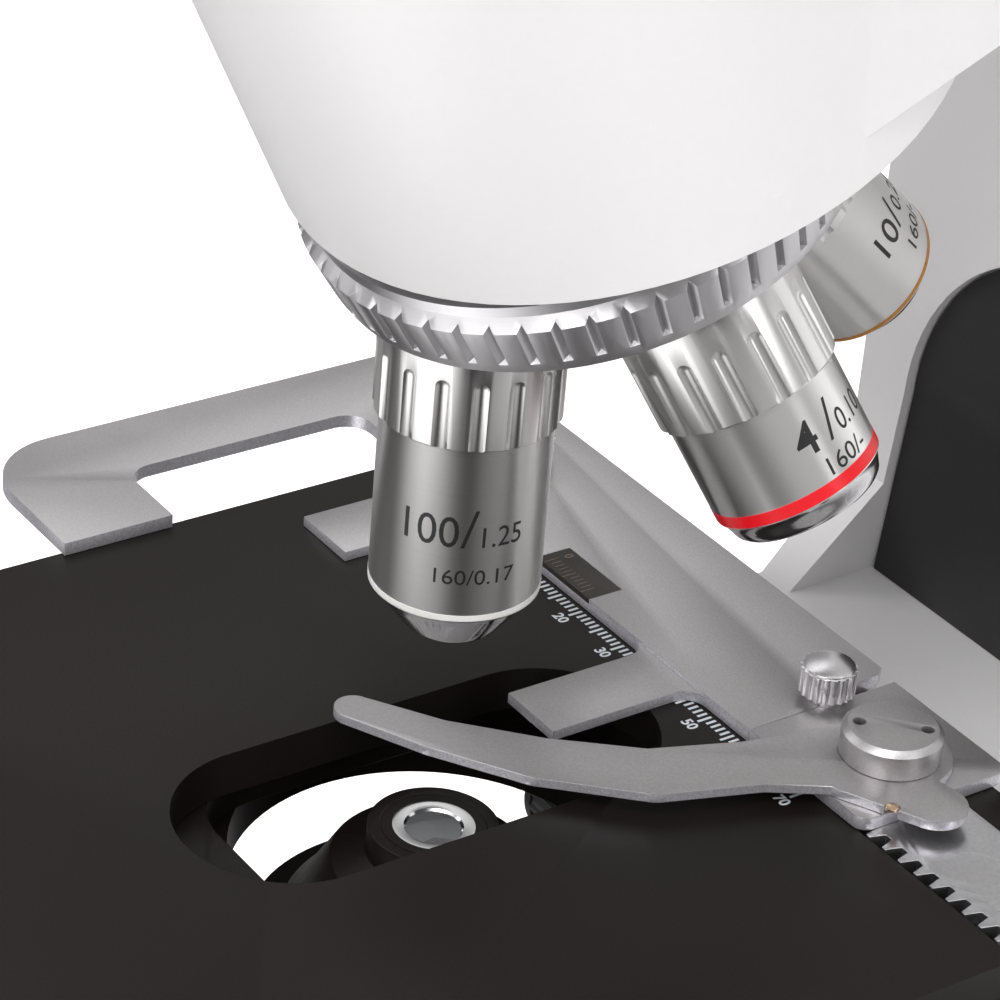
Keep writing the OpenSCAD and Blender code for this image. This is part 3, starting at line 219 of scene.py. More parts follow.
def grainy(name, colour, metallic, roughness, size, colour_swing, rough_swing, relief_mm,
           **sockets):
    """A material with grain of a size in metres, and with a relief in millimetres."""
    mat = new_material(name, colour, metallic, roughness, **sockets)
    nodes, links = mat.node_tree.nodes, mat.node_tree.links
    shader = nodes["Principled BSDF"]
    place = nodes.new("ShaderNodeTexCoord")
    grain = nodes.new("ShaderNodeGroup")
    grain.node_tree = GRAIN
    grain.inputs["Size"].default_value = size
    grain.inputs["Drift"].default_value = DRIFT_SIZE
    links.new(place.outputs["Object"], grain.inputs["Place"])
    tint = nodes.new("ShaderNodeMapRange")
    tint.inputs["From Min"].default_value, tint.inputs["From Max"].default_value = GRAIN_RANGE
    links.new(grain.outputs["Grain"], tint.inputs["Value"])
    two_tones(nodes, links, colour, colour_swing, tint.outputs["Result"], shader)
    rough = nodes.new("ShaderNodeMapRange")
    rough.inputs["From Min"].default_value, rough.inputs["From Max"].default_value = DRIFT_RANGE
    rough.inputs["To Min"].default_value = roughness - rough_swing
    rough.inputs["To Max"].default_value = roughness + rough_swing
    links.new(grain.outputs["Drift"], rough.inputs["Value"])
    links.new(rough.outputs["Result"], shader.inputs["Roughness"])
    relief = nodes.new("ShaderNodeBump")
    relief.inputs["Strength"].default_value = 1.0
    relief.inputs["Distance"].default_value = relief_mm * MM
    links.new(grain.outputs["Grain"], relief.inputs["Height"])
    links.new(relief.outputs["Normal"], shader.inputs["Normal"])
    return mat


print("grain from", GRAIN_RANGE, "drift from", DRIFT_RANGE, "over", DRIFT_SIZE / MM, "mm")

# %% [markdown]
# On a turned barrel each highlight is drawn out into a stripe, because the fine rings scatter the
# light across themselves and hardly round the barrel. Cycles calls this anisotropy, and it needs
# to know which way the rings run. An unwrapped mesh could tell it. Here the way is worked out
# from each point's place in the frame of the barrel, and stays right when the turret turns.

# %% A turned metal
ANISOTROPY = 0.85
QUARTER_TURN = 0.25
TURNED_ROUGH_SWING = 0.06


def turned_metal(name, colour, roughness, pitch, swing, axis_frame):
    """A metal with rings of a pitch in metres round the Z axis of a frame."""
    mat = new_material(name, colour, 1.0, roughness, Anisotropic=ANISOTROPY,
                       Anisotropic_Rotation=QUARTER_TURN)
    nodes, links = mat.node_tree.nodes, mat.node_tree.links
    shader = nodes["Principled BSDF"]
    place = nodes.new("ShaderNodeTexCoord")
    local = nodes.new("ShaderNodeMapping")
    inverse = axis_frame.inverted()
    local.inputs["Location"].default_value = inverse.translation
    local.inputs["Rotation"].default_value = inverse.to_euler("XYZ")
    links.new(place.outputs["Object"], local.inputs["Vector"])
    marks = nodes.new("ShaderNodeGroup")
    marks.node_tree = TURNING
    marks.inputs["Pitch"].default_value = pitch
    links.new(local.outputs["Vector"], marks.inputs["Place"])
    two_tones(nodes, links, colour, swing, marks.outputs["Marks"], shader)
    rough = nodes.new("ShaderNodeMapRange")
    rough.inputs["To Min"].default_value = roughness - TURNED_ROUGH_SWING
    rough.inputs["To Max"].default_value = roughness + TURNED_ROUGH_SWING
    links.new(marks.outputs["Marks"], rough.inputs["Value"])
    links.new(rough.outputs["Result"], shader.inputs["Roughness"])
    split = nodes.new("ShaderNodeSeparateXYZ")
    minus = nodes.new("ShaderNodeMath")
    minus.operation = "MULTIPLY"
    minus.inputs[1].default_value = -1.0
    round_way = nodes.new("ShaderNodeCombineXYZ")
    links.new(local.outputs["Vector"], split.inputs[0])
    links.new(split.outputs["Y"], minus.inputs[0])
    links.new(minus.outputs[0], round_way.inputs["X"])
    links.new(split.outputs["X"], round_way.inputs["Y"])
    turned_back = nodes.new("ShaderNodeMapping")
    turned_back.vector_type = "VECTOR"
    turned_back.inputs["Rotation"].default_value = axis_frame.to_euler("XYZ")
    links.new(round_way.outputs[0], turned_back.inputs["Vector"])
    to_world = nodes.new("ShaderNodeVectorTransform")
    to_world.vector_type = "VECTOR"
    to_world.convert_from = "OBJECT"
    to_world.convert_to = "WORLD"
    links.new(turned_back.outputs["Vector"], to_world.inputs[0])
    links.new(to_world.outputs[0], shader.inputs["Tangent"])
    return mat


print("turned metal: anisotropy", ANISOTROPY, "rotated by", QUARTER_TURN, "of a turn")

# %% [markdown]
# The turret leans back, and each objective leans away from the turret's axis by the same angle,
# so the one in use stands upright. Both frames come from the turret's joint in the record: its
# place is the point where all the objectives' axes meet, and its axis gives the lean.

# %% Frames of the turret and the objectives
turret_joint = joint["turret_turn"]
APEX = Vector(turret_joint["pos_m"])
TILT = math.asin(Vector(turret_joint["axis"]).normalized().y)
turret_frame = Matrix.Translation(APEX) @ Matrix.Rotation(TILT, 4, "X")
SEATS = {"objective_100": 0, "objective_4": 90, "objective_10": 180, "objective_40": 270}  # degrees


def objective_frame(name):
    spin = Matrix.Rotation(math.radians(SEATS[name]), 4, "Z")
    return turret_frame @ spin @ Matrix.Rotation(-TILT, 4, "X")


print("turret lean", round(math.degrees(TILT), 2), "apex", [round(v, 4) for v in APEX])

# %% [markdown]
# Now the finishes themselves, one per kind of surface. The stand has a satin white enamel with the
# faint ripple of sprayed paint. The stage is black anodised with pale specks of dust in it. The
# specimen holder is bead blasted, and the turret ring and the objectives are turned. Each finish
# is one line of numbers, tuned against the photograph where it shows there, so that two of them
# compare at a glance.

# %% Finishes: colour, metallic, roughness, grain in m, swings of colour and roughness, relief in mm
ENAMEL = grainy("white_enamel", (0.84, 0.84, 0.835), 0.0, 0.38, 0.0012, 0.006, 0.05, 0.004,
                Coat_Weight=0.2, Coat_Roughness=0.3)
ANODISED = grainy("black_anodised", (0.0085, 0.0060, 0.0052), 0.0, 0.42, 0.0003, 0.5, 0.04, 0.002,
                  Specular_IOR_Level=0.20)
BLACK_PLASTIC = grainy("black_plastic", (0.012, 0.012, 0.013), 0.0, 0.44, 0.0005, 0.2, 0.05, 0.008)
RUBBER = grainy("black_rubber", (0.02, 0.02, 0.02), 0.0, 0.75, 0.0008, 0.25, 0.06, 0.02)
BLASTED = grainy("blasted_plate", (0.44, 0.425, 0.43), 0.9, 0.44, 0.00028, 0.10, 0.05, 0.007)
CAST = grainy("satin_cast", (0.62, 0.605, 0.61), 0.95, 0.34, 0.00035, 0.07, 0.06, 0.006)
BRIGHT = grainy("polished_steel", (0.80, 0.80, 0.80), 1.0, 0.16, 0.002, 0.03, 0.03, 0.001)
RING_STEEL = turned_metal("ring_turned", (0.64, 0.625, 0.64), 0.37, 0.00025, 0.06, turret_frame)
MACHINED = grainy("machined_steel", (0.55, 0.55, 0.56), 1.0, 0.32, 0.0006, 0.08, 0.05, 0.004)
BRONZE = grainy("bearing_bronze", (0.55, 0.36, 0.14), 1.0, 0.38, 0.0005, 0.15, 0.05, 0.006)
BRASS = grainy("rivet_brass", (0.72, 0.52, 0.36), 1.0, 0.28, 0.0004, 0.08, 0.05, 0.003)
CIRCUIT = grainy("circuit_green", (0.02, 0.12, 0.05), 0.0, 0.4, 0.001, 0.3, 0.05, 0.01)
VERNIER_BLACK = grainy("vernier_black", (0.030, 0.024, 0.020), 0.3, 0.42, 0.0004, 0.3, 0.05, 0.002)
PANEL = grainy("black_panel", (0.0125, 0.0115, 0.012), 0.0, 0.5, 0.0006, 0.2, 0.04, 0.006)
GLASS = new_material("lens_glass", (0.93, 0.95, 0.98), 0.0, 0.02, Transmission_Weight=0.9, IOR=1.52)
FROSTED = grainy("frosted_glass", (0.82, 0.84, 0.85), 0.0, 0.35, 0.0004, 0.03, 0.05, 0.005)
INK_BLACK = grainy("engraved_black", (0.01, 0.01, 0.011), 0.0, 0.5, 0.0003, 0.3, 0.05, 0.003)
INK_WHITE = grainy("printed_white", (0.74, 0.78, 0.82), 0.0, 0.55, 0.0003, 0.06, 0.05, 0.003)
INK_FAINT = grainy("faded_print", (0.15, 0.12, 0.10), 0.0, 0.55, 0.0003, 0.2, 0.05, 0.003)
SATIN = grainy("satin_steel", (0.78, 0.765, 0.78), 1.0, 0.27, 0.0003, 0.06, 0.05, 0.002)
NOSE = grainy("nose_chrome", (0.50, 0.49, 0.50), 1.0, 0.14, 0.0004, 0.05, 0.04, 0.0)
# a painted highlight: a brighter finish for the steep sides of the blasted plates
EDGE_HIGHLIGHT = grainy("painted_edge_highlight", (0.60, 0.59, 0.63), 0.60, 0.36, 0.0003, 0.22, 0.10, 0.006)
BAND_RED = grainy("band_red", (0.78, 0.006, 0.014), 0.0, 0.28, 0.0004, 0.05, 0.04, 0.002)
BAND_AMBER = grainy("band_amber", (0.40, 0.17, 0.02), 0.0, 0.28, 0.0004, 0.05, 0.04, 0.002)
BAND_WHITE = grainy("band_white", (0.86, 0.85, 0.82), 0.0, 0.28, 0.0004, 0.02, 0.04, 0.002)
BAND_BLUE = grainy("band_blue", (0.02, 0.16, 0.55), 0.0, 0.28, 0.0004, 0.05, 0.04, 0.002)
barrel = {n: turned_metal(n + "_turned", (0.80, 0.785, 0.78), 0.30, 0.00008, 0.05,
                          objective_frame(n)) for n in SEATS}
print("materials", len(bpy.data.materials))

# %% [markdown]
# The castings came as long, slim triangles. Smooth shading would blend each corner over all the
# faces round it, and leave streaks on the white bowl. So on these shells every corner gets its own
# normal, from the faces nearly in line with it, the large ones counting for more.

# %% Even normals on the shells
EDGE_ANGLE = math.radians(28)
NEAR_ANGLE = math.radians(4)
SHELLS = {"base_casting", "arm_casting", "head_body"}


def even_normals(mesh):
    """Sets each corner's normal from the faces nearly in line, and from gentle neighbours."""
    tool = bmesh.new()
    tool.from_mesh(mesh)
    normals = []
    for face in tool.faces:
        for corner in face.loops:
            beside = {corner.edge, corner.link_loop_prev.edge}
            total = Vector()
            for other in corner.vert.link_faces:
                turn = face.normal.angle(other.normal, 0.0)
                if turn < NEAR_ANGLE or (turn < EDGE_ANGLE and beside & set(other.edges)):
                    total += other.normal * other.calc_area()
            normals.append(total.normalized())
    tool.free()
    mesh.normals_split_custom_set(normals)


print("shells with even normals", sorted(SHELLS))

# %% [markdown]
# Real edges are never knife sharp: a tiny round catches the light and tells the eye that a plate
# is metal. Each solid's mesh is copied, its flat faces are joined again, its sharp edges get a
# narrow bevel, and the copy stands for the solid. The width suits each piece. Rounds in the solids
# would be exact, but a simulation has no use for them. The steep sides of the blasted plates look
# brighter, so they take a second, brighter material: a painted highlight along their edges.

# %% Rounded edges on copies of the solids
FLAT_JOIN = math.radians(0.5)
WELD = 0.002 * MM
BEVEL_SEGMENTS = 2
PAINTED_EDGE_PLATES = {"holder_bar", "pivot_plate", "clip_finger"}
STEEP = 0.3  # a face takes the painted edge highlight where its normal rises less than this


def softened(node, width_mm, material):
    """Copies a solid's mesh, rounds its edges, and lets the copy stand for the solid."""
    mesh = frame["nodes"][node].data.copy()
    tool = bmesh.new()
    tool.from_mesh(mesh)
    bmesh.ops.remove_doubles(tool, verts=tool.verts, dist=WELD)
    bmesh.ops.dissolve_limit(tool, angle_limit=FLAT_JOIN, verts=tool.verts, edges=tool.edges)
    tool.to_mesh(mesh)
    tool.free()
    mesh.materials.clear()
    mesh.materials.append(material)
    raw = bpy.data.objects.new(node + "_raw", mesh)
    bpy.context.scene.collection.objects.link(raw)
    bevel = raw.modifiers.new("edges", "BEVEL")
    bevel.width = width_mm * MM
    bevel.segments = BEVEL_SEGMENTS
    bevel.limit_method = "ANGLE"
    bevel.angle_limit = EDGE_ANGLE
    bevel.use_clamp_overlap = True
    bevel.harden_normals = False
    view = bpy.context.evaluated_depsgraph_get()
    mesh = bpy.data.meshes.new_from_object(raw.evaluated_get(view))
    bpy.data.objects.remove(raw)
    mesh.shade_smooth()
    mesh.set_sharp_from_angle(angle=EDGE_ANGLE)
    if node in SHELLS:
        even_normals(mesh)
    # the steep sides of these plates take the painted edge highlight
    if node in PAINTED_EDGE_PLATES:
        mesh.materials.append(EDGE_HIGHLIGHT)
        for face in mesh.polygons:
            if abs(face.normal.z) < STEEP:
                face.material_index = 1
    piece = bpy.data.objects.new(node + "_finished", mesh)
    bpy.context.scene.collection.objects.link(piece)
    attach(piece, body_of[node])
    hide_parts(node)
    return piece


def dressed(node, material):
    """Leaves a hidden solid's mesh as it is, and only gives it its material."""
    mesh = frame["nodes"][node].data
    mesh.materials.clear()
    mesh.materials.append(material)


print("solids in the frame", len(frame["nodes"]), "plates with painted edges", len(PAINTED_EDGE_PLATES))

# %% [markdown]
# The finish of every solid is one line in a table: the material, and the width of its edge round
# in millimetres. Hidden pieces keep their own mesh and only take the material.

# %% Finish table
FINISHES = {
    "base_casting": (ENAMEL, 1.2), "arm_casting": (ENAMEL, 1.2), "head_body": (ENAMEL, 1.0),
    "photo_tube": (ENAMEL, 0.5), "right_eye_arm": (ENAMEL, 0.8), "left_eye_arm": (ENAMEL, 0.8),
    "upper_plate": (ANODISED, 0.35), "lower_plate": (ANODISED, 0.3),
    "stage_carrier": (ANODISED, 0.3), "stem_housing": (ANODISED, 0.3),
    "condenser_carrier": (ANODISED, 0.4), "condenser_body": (ANODISED, 0.2),
    "iris_ring": (ANODISED, 0.15), "filter_holder": (ANODISED, 0.2),
    "lamp_collar": (ANODISED, 0.3), "turret_seat": (ANODISED, 0.2), "turret_disc": (ANODISED, 0.25),
    "vernier_plate": (VERNIER_BLACK, 0.1), "arm_panel": (PANEL, 0.3),
    "coarse_knobs": (BLACK_PLASTIC, 0.3), "fine_knobs": (BLACK_PLASTIC, 0.25),
    "y_knob": (BLACK_PLASTIC, 0.15), "x_knob": (BLACK_PLASTIC, 0.15),
    "condenser_knob": (BLACK_PLASTIC, 0.15), "head_screw": (BLACK_PLASTIC, 0.12),
    "photo_cap": (BLACK_PLASTIC, 0.3), "diopter_ring": (BLACK_PLASTIC, 0.25),
    "right_eyepiece": (BLACK_PLASTIC, 0.25), "left_eyepiece": (BLACK_PLASTIC, 0.25),
    "power_inlet": (BLACK_PLASTIC, 0.2), "power_switch": (BLACK_PLASTIC, 0.4),
    "brightness_dial": (BLACK_PLASTIC, 0.25), "rubber_feet": (RUBBER, 0.5),
    "holder_bar": (BLASTED, 0.16), "pivot_plate": (BLASTED, 0.16), "clip_finger": (BLASTED, 0.14),
    "clip_cap": (BLASTED, 0.2), "tension_ring": (CAST, 0.2), "turret_ring": (RING_STEEL, 0.12),
    "thumbscrews": (SATIN, 0.1), "splitter_rod": (BRIGHT, 0.15), "x_slide": (MACHINED, 0.08),
    "turret_screw": (MACHINED, 0.15), "bottom_cover": (MACHINED, 0.3),
    **{name: (turned, 0.12) for name, turned in barrel.items()},
}
INNER = {
    "focus_guides": MACHINED, "coarse_shaft": MACHINED, "fine_shaft": MACHINED,
    "focus_rack": MACHINED, "y_rack": MACHINED, "focus_bushes": BRONZE, "clip_spring": BRIGHT,
    "lamp_board": CIRCUIT, "power_board": CIRCUIT, "objective_lenses": GLASS,
    "condenser_lens": GLASS, "field_lens": FROSTED,
}
finished = {n: softened(n, width, mat) for n, (mat, width) in FINISHES.items()}
for node, mat in INNER.items():
    dressed(node, mat)
left_over = sorted(set(frame["nodes"]) - set(FINISHES) - set(INNER))
print("finished", len(finished), "faces", sum(len(p.data.polygons) for p in finished.values()),
      "left over", left_over)

# %% [markdown]
# Each objective carries a colour band near its tip, which tells its power from across the bench.
# It is a painted groove on the real barrel. It could be painted in a texture, but then its edge
# would blur close up, so here it is a thin ring, a few hundredths of a millimetre proud of the
# steel, spun from a small profile. The nose below the band is polished and takes a second material.

# %% Helper: a ring or a disc spun from a profile
RING_STEPS = 128
RING_WELD = 0.0001 * MM


def spun(name, profile, placing, material, body, steps=RING_STEPS):
    """Turns a closed profile of (radius, height) points in mm round the local Z axis."""
    tool = bmesh.new()
    rings = []
    for i in range(steps):
        a = 2 * math.pi * i / steps
        rings.append([tool.verts.new(placing @ (Vector((r * math.cos(a), r * math.sin(a), z)) * MM))
                      for r, z in profile])
    for i in range(steps):
        this, after = rings[i], rings[(i + 1) % steps]
        for k in range(len(profile)):
            k2 = (k + 1) % len(profile)
            tool.faces.new((this[k], after[k], after[k2], this[k2]))
    bmesh.ops.remove_doubles(tool, verts=tool.verts, dist=RING_WELD)
    bmesh.ops.recalc_face_normals(tool, faces=tool.faces)
    mesh = bpy.data.meshes.new(name)
    tool.to_mesh(mesh)
    tool.free()
    mesh.shade_smooth()
    mesh.set_sharp_from_angle(angle=EDGE_ANGLE)
    mesh.materials.append(material)
    piece = bpy.data.objects.new(name, mesh)
    bpy.context.scene.collection.objects.link(piece)
    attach(piece, body)
    return piece


print("rings have", RING_STEPS, "steps")

# %% Colour bands and polished noses
BARREL_R = 10.95
BAND_LIFT = 0.03
BAND_SINK = 0.2
BAND_SLOPE = 0.05
BANDS = {  # colour, lower edge in mm below the apex, height in mm
    "objective_100": (BAND_WHITE, 87.75, 0.9), "objective_4": (BAND_RED, 77.0, 1.7),
    "objective_10": (BAND_AMBER, 83.5, 0.7), "objective_40": (BAND_BLUE, 87.2, 1.2),
}
for name, (mat, low_edge, height) in BANDS.items():
    shell = finished[name].data
    shell.materials.append(NOSE)
    to_local = objective_frame(name).inverted()
    for face in shell.polygons:
        if (to_local @ face.center).z < -low_edge * MM:
            face.material_index = 1
    low, high = -low_edge, -low_edge + height
    deep, proud = BARREL_R - BAND_SINK, BARREL_R + BAND_LIFT
    edge = [(deep, low), (proud, low + BAND_SLOPE), (proud, high - BAND_SLOPE), (deep, high)]
    spun(name + "_band", edge, objective_frame(name), mat, "turret")
print("bands", len(BANDS))

# %% [markdown]
# The barrels carry plain numbers: the power, the aperture, the tube length and the cover glass.
# A picture of them would blur close up. So a line of figures starts as flat text and becomes a
# mesh, and each of its points is then wrapped round the barrel. It hugs the steel as real
# engraving does.

# %% Numbers as meshes, all sizes in mm
TEXT_DEEP = 0.02
CAP_SHARE = 0.73  # the height of a capital over the size of the font
TEXT_WELD = 1e-4
LONG_EDGE = 0.5


def text_mesh(body, cap_height, squeeze=1.0, bold=0.0):
    """Flat text as a mesh of triangles, short enough to bend."""
    curve = bpy.data.curves.new("figures", "FONT")
    curve.body = body
    curve.align_x = "CENTER"
    curve.size = cap_height / CAP_SHARE
    curve.extrude = TEXT_DEEP
    curve.offset = bold
    curve.resolution_u = 4
    holder = bpy.data.objects.new("figures", curve)
    bpy.context.scene.collection.objects.link(holder)
    view = bpy.context.evaluated_depsgraph_get()
    mesh = bpy.data.meshes.new_from_object(holder.evaluated_get(view))
    bpy.data.objects.remove(holder)
    tool = bmesh.new()
    tool.from_mesh(mesh)
    bmesh.ops.remove_doubles(tool, verts=tool.verts, dist=TEXT_WELD)
    for v in tool.verts:
        v.co.x *= squeeze
    longest = [e for e in tool.edges if e.calc_length() > LONG_EDGE]
    bmesh.ops.subdivide_edges(tool, edges=longest, cuts=2)
    bmesh.ops.triangulate(tool, faces=tool.faces)
    tool.to_mesh(mesh)
    tool.free()
    return mesh


def engraved(name, runs, radius, centre_deg, baseline, placing, material, body):
    """Wraps runs of (text, cap height, squeeze, bold, shift in mm) round a barrel."""
    tool = bmesh.new()
    for body_text, cap, squeeze, bold, shift in runs:
        mesh = text_mesh(body_text, cap, squeeze, bold)
        for v in mesh.vertices:
            angle = math.radians(centre_deg) + (v.co.x + shift) / radius
            r = radius + v.co.z
            local = Vector((r * math.cos(angle), r * math.sin(angle), baseline + v.co.y)) * MM
            v.co = placing @ local
        tool.from_mesh(mesh)
        bpy.data.meshes.remove(mesh)
    mesh = bpy.data.meshes.new(name)
    tool.to_mesh(mesh)
    tool.free()
    mesh.materials.append(material)
    piece = bpy.data.objects.new(name, mesh)
    bpy.context.scene.collection.objects.link(piece)
    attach(piece, body)
    return piece


print("text is", TEXT_DEEP, "mm deep, edges over", LONG_EDGE, "mm are cut in three")

# %% [markdown]
# Each barrel has two lines of figures. The table says where a line's middle is round the barrel,
# in degrees, and its height below the apex in mm, both read off the photograph for the barrels
# that show there. Its runs follow: text, height, width, boldness and shift to the side.

# %% Figures on the four barrels
FIGURES = {
    "objective_100": [(326, -77.1, [("100", 4.5, 0.92, 0.0, -4.3), ("/", 5.6, 1.1, -0.05, 1.1),
                                    ("1.25", 3.0, 0.9, 0.0, 5.2)]),
                      (336, -82.4, [("160/0.17", 2.2, 1.05, 0.0, 0.0)])],
    "objective_4": [(292, -71.2, [("4", 4.4, 1.0, 0.08, -5.2), ("/", 5.4, 1.0, -0.04, -1.4),
                                  ("0.10", 3.0, 0.9, 0.0, 2.8)]),
                    (286, -74.9, [("160/-", 2.4, 1.1, 0.0, 0.0)])],
    "objective_10": [(222, -75.6, [("10", 4.4, 0.9, 0.03, -4.2), ("/", 5.4, 1.0, -0.04, -0.4),
                                   ("0.25", 3.0, 0.9, 0.0, 4.0)]),
                     (228, -80.2, [("160/-", 2.4, 1.1, 0.0, 0.0)])],
    "objective_40": [(250, -78.5, [("40", 4.4, 0.9, 0.03, -4.2), ("/", 5.4, 1.0, -0.04, -0.4),
                                   ("0.65", 3.0, 0.9, 0.0, 4.0)]),
                     (250, -83.0, [("160/0.17", 2.2, 1.05, 0.0, 0.0)])],
}
for name, lines in FIGURES.items():
    for i, (centre, baseline, runs) in enumerate(lines):
        engraved(f"{name}_figures_{i}", runs, BARREL_R, centre, baseline, objective_frame(name),
                 INK_BLACK, "turret")
print("figure lines", sum(len(v) for v in FIGURES.values()))

# %% [markdown]
# The stage has a millimetre scale along the holder, and the holder a vernier. A scale is the same
# tick again and again, every fifth one longer. A loop could place them one by one, but Geometry
# Nodes do it in one tree that serves both scales: a line of points, a bar on each, its length
# chosen by the point's number.

# %% Tick scale as a node tree
TICK_THICK = 0.03 * MM
TICK_INPUTS = (
    ("Count", "NodeSocketInt", 61), ("Pitch", "NodeSocketFloat", 1 * MM),
    ("Width", "NodeSocketFloat", 0.35 * MM), ("Short", "NodeSocketFloat", 1.4 * MM),
    ("Long", "NodeSocketFloat", 2.6 * MM), ("Every", "NodeSocketInt", 5),
)


def tick_tree():
    """The tree and the identifiers of its inputs, by name."""
    tree = bpy.data.node_groups.new("tick_scale", "GeometryNodeTree")
    tree.interface.new_socket("Geometry", in_out="OUTPUT", socket_type="NodeSocketGeometry")
    sockets = {}
    for name, kind, value in TICK_INPUTS:
        socket = tree.interface.new_socket(name, in_out="INPUT", socket_type=kind)
        socket.default_value = value
        sockets[name] = socket.identifier
    socket = tree.interface.new_socket("Ink", in_out="INPUT", socket_type="NodeSocketMaterial")
    sockets["Ink"] = socket.identifier
    nodes, links = tree.nodes, tree.links
    source = nodes.new("NodeGroupInput")
    sink = nodes.new("NodeGroupOutput")
    line = nodes.new("GeometryNodeMeshLine")
    step = nodes.new("ShaderNodeCombineXYZ")
    links.new(source.outputs["Count"], line.inputs["Count"])
    links.new(source.outputs["Pitch"], step.inputs["X"])
    links.new(step.outputs[0], line.inputs["Offset"])
    index = nodes.new("GeometryNodeInputIndex")
    rest = nodes.new("ShaderNodeMath")
    rest.operation = "MODULO"
    links.new(index.outputs[0], rest.inputs[0])
    links.new(source.outputs["Every"], rest.inputs[1])
    is_long = nodes.new("ShaderNodeMath")
    is_long.operation = "LESS_THAN"
    is_long.inputs[1].default_value = 0.5
    links.new(rest.outputs[0], is_long.inputs[0])
    reach = nodes.new("ShaderNodeMix")
    reach.data_type = "FLOAT"
    links.new(is_long.outputs[0], reach.inputs["Factor"])
    links.new(source.outputs["Short"], reach.inputs["A"])
    links.new(source.outputs["Long"], reach.inputs["B"])
    size = nodes.new("ShaderNodeCombineXYZ")
    size.inputs["Z"].default_value = 1.0
    links.new(source.outputs["Width"], size.inputs["X"])
    links.new(reach.outputs["Result"], size.inputs["Y"])
    bar = nodes.new("GeometryNodeMeshCube")
    bar.inputs["Size"].default_value = (1.0, 1.0, TICK_THICK)
    lift = nodes.new("GeometryNodeTransform")
    lift.inputs["Translation"].default_value = (0.0, -0.5, 0.0)
    links.new(bar.outputs["Mesh"], lift.inputs["Geometry"])
    copies = nodes.new("GeometryNodeInstanceOnPoints")
    links.new(line.outputs["Mesh"], copies.inputs["Points"])
    links.new(lift.outputs["Geometry"], copies.inputs["Instance"])
    links.new(size.outputs[0], copies.inputs["Scale"])
    solid = nodes.new("GeometryNodeRealizeInstances")
    ink = nodes.new("GeometryNodeSetMaterial")
    links.new(copies.outputs["Instances"], solid.inputs["Geometry"])
    links.new(solid.outputs["Geometry"], ink.inputs["Geometry"])
    links.new(source.outputs["Ink"], ink.inputs["Material"])
    links.new(ink.outputs["Geometry"], sink.inputs["Geometry"])
    return tree, sockets


TICKS, TICK_SOCKETS = tick_tree()
print("node tree", TICKS.name, "nodes", len(TICKS.nodes))

# %% [markdown]
# The tree could stay live on each scale. It is run once instead, and its result is kept as a plain
# mesh, so that a scale rides on its body like any other piece. The numbers are flat text, made
# with the same helper as the figures on the barrels, and only laid down instead of wrapped.

# %% Helpers: a baked tree and a flat number
def baked(name, tree, sockets, values, placing, body):
    """Runs a node tree once and keeps the result as a plain mesh that rides on a body."""
    holder = bpy.data.objects.new(name + "_nodes", bpy.data.meshes.new(name + "_nodes"))
    bpy.context.scene.collection.objects.link(holder)
    maker = holder.modifiers.new("maker", "NODES")
    maker.node_group = tree
    for key, value in values.items():
        maker[sockets[key]] = value
    view = bpy.context.evaluated_depsgraph_get()
    mesh = bpy.data.meshes.new_from_object(holder.evaluated_get(view))
    bpy.data.objects.remove(holder)
    mesh.transform(placing)
    piece = bpy.data.objects.new(name, mesh)
    bpy.context.scene.collection.objects.link(piece)
    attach(piece, body)
    print(name, len(mesh.polygons), "faces")
    return piece


NUMBER_BOLD = 0.05


def flat_number(name, text, cap, place, body, material):
    """Prints a number flat on top of a piece."""
    mesh = text_mesh(text, cap, bold=NUMBER_BOLD)
    mesh.transform(Matrix.Translation(place) @ Matrix.Scale(MM, 4))
    mesh.materials.clear()
    mesh.materials.append(material)
    piece = bpy.data.objects.new(name, mesh)
    bpy.context.scene.collection.objects.link(piece)
    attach(piece, body)
    return piece


print("number boldness", NUMBER_BOLD, "mm")

# %% [markdown]
# The stage has a tick for each millimetre and a number for each centimetre, in pale print on the
# black plate. Their places and the thickness of the ticks were measured in the photograph. They
# lie two hundredths of a millimetre above the plate, enough for the render to keep them apart.

# %% The stage scale and its numbers, places in mm
STAGE_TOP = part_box("upper_plate")[1].z
INK_LIFT = 0.02 * MM
SCALE_ZERO_X = -42.2
SCALE_Y = 38.75
SCALE_COUNT = 71
NUMBER_Y = 34.35
NUMBER_CAP = 1.7
NUMBER_EVERY = 10
first_tick = Matrix.Translation(Vector((SCALE_ZERO_X * MM, SCALE_Y * MM, STAGE_TOP + INK_LIFT)))
baked("stage_scale", TICKS, TICK_SOCKETS,
      {"Count": SCALE_COUNT, "Pitch": 1 * MM, "Width": 0.42 * MM, "Short": 1.6 * MM,
       "Long": 2.3 * MM, "Every": 5, "Ink": INK_WHITE}, first_tick, "cross_stage")
for value in range(0, SCALE_COUNT, NUMBER_EVERY):
    flat_number(f"stage_number_{value}", str(value), NUMBER_CAP,
                Vector(((SCALE_ZERO_X + value) * MM, NUMBER_Y * MM, STAGE_TOP + INK_LIFT)),
                "cross_stage", INK_WHITE)
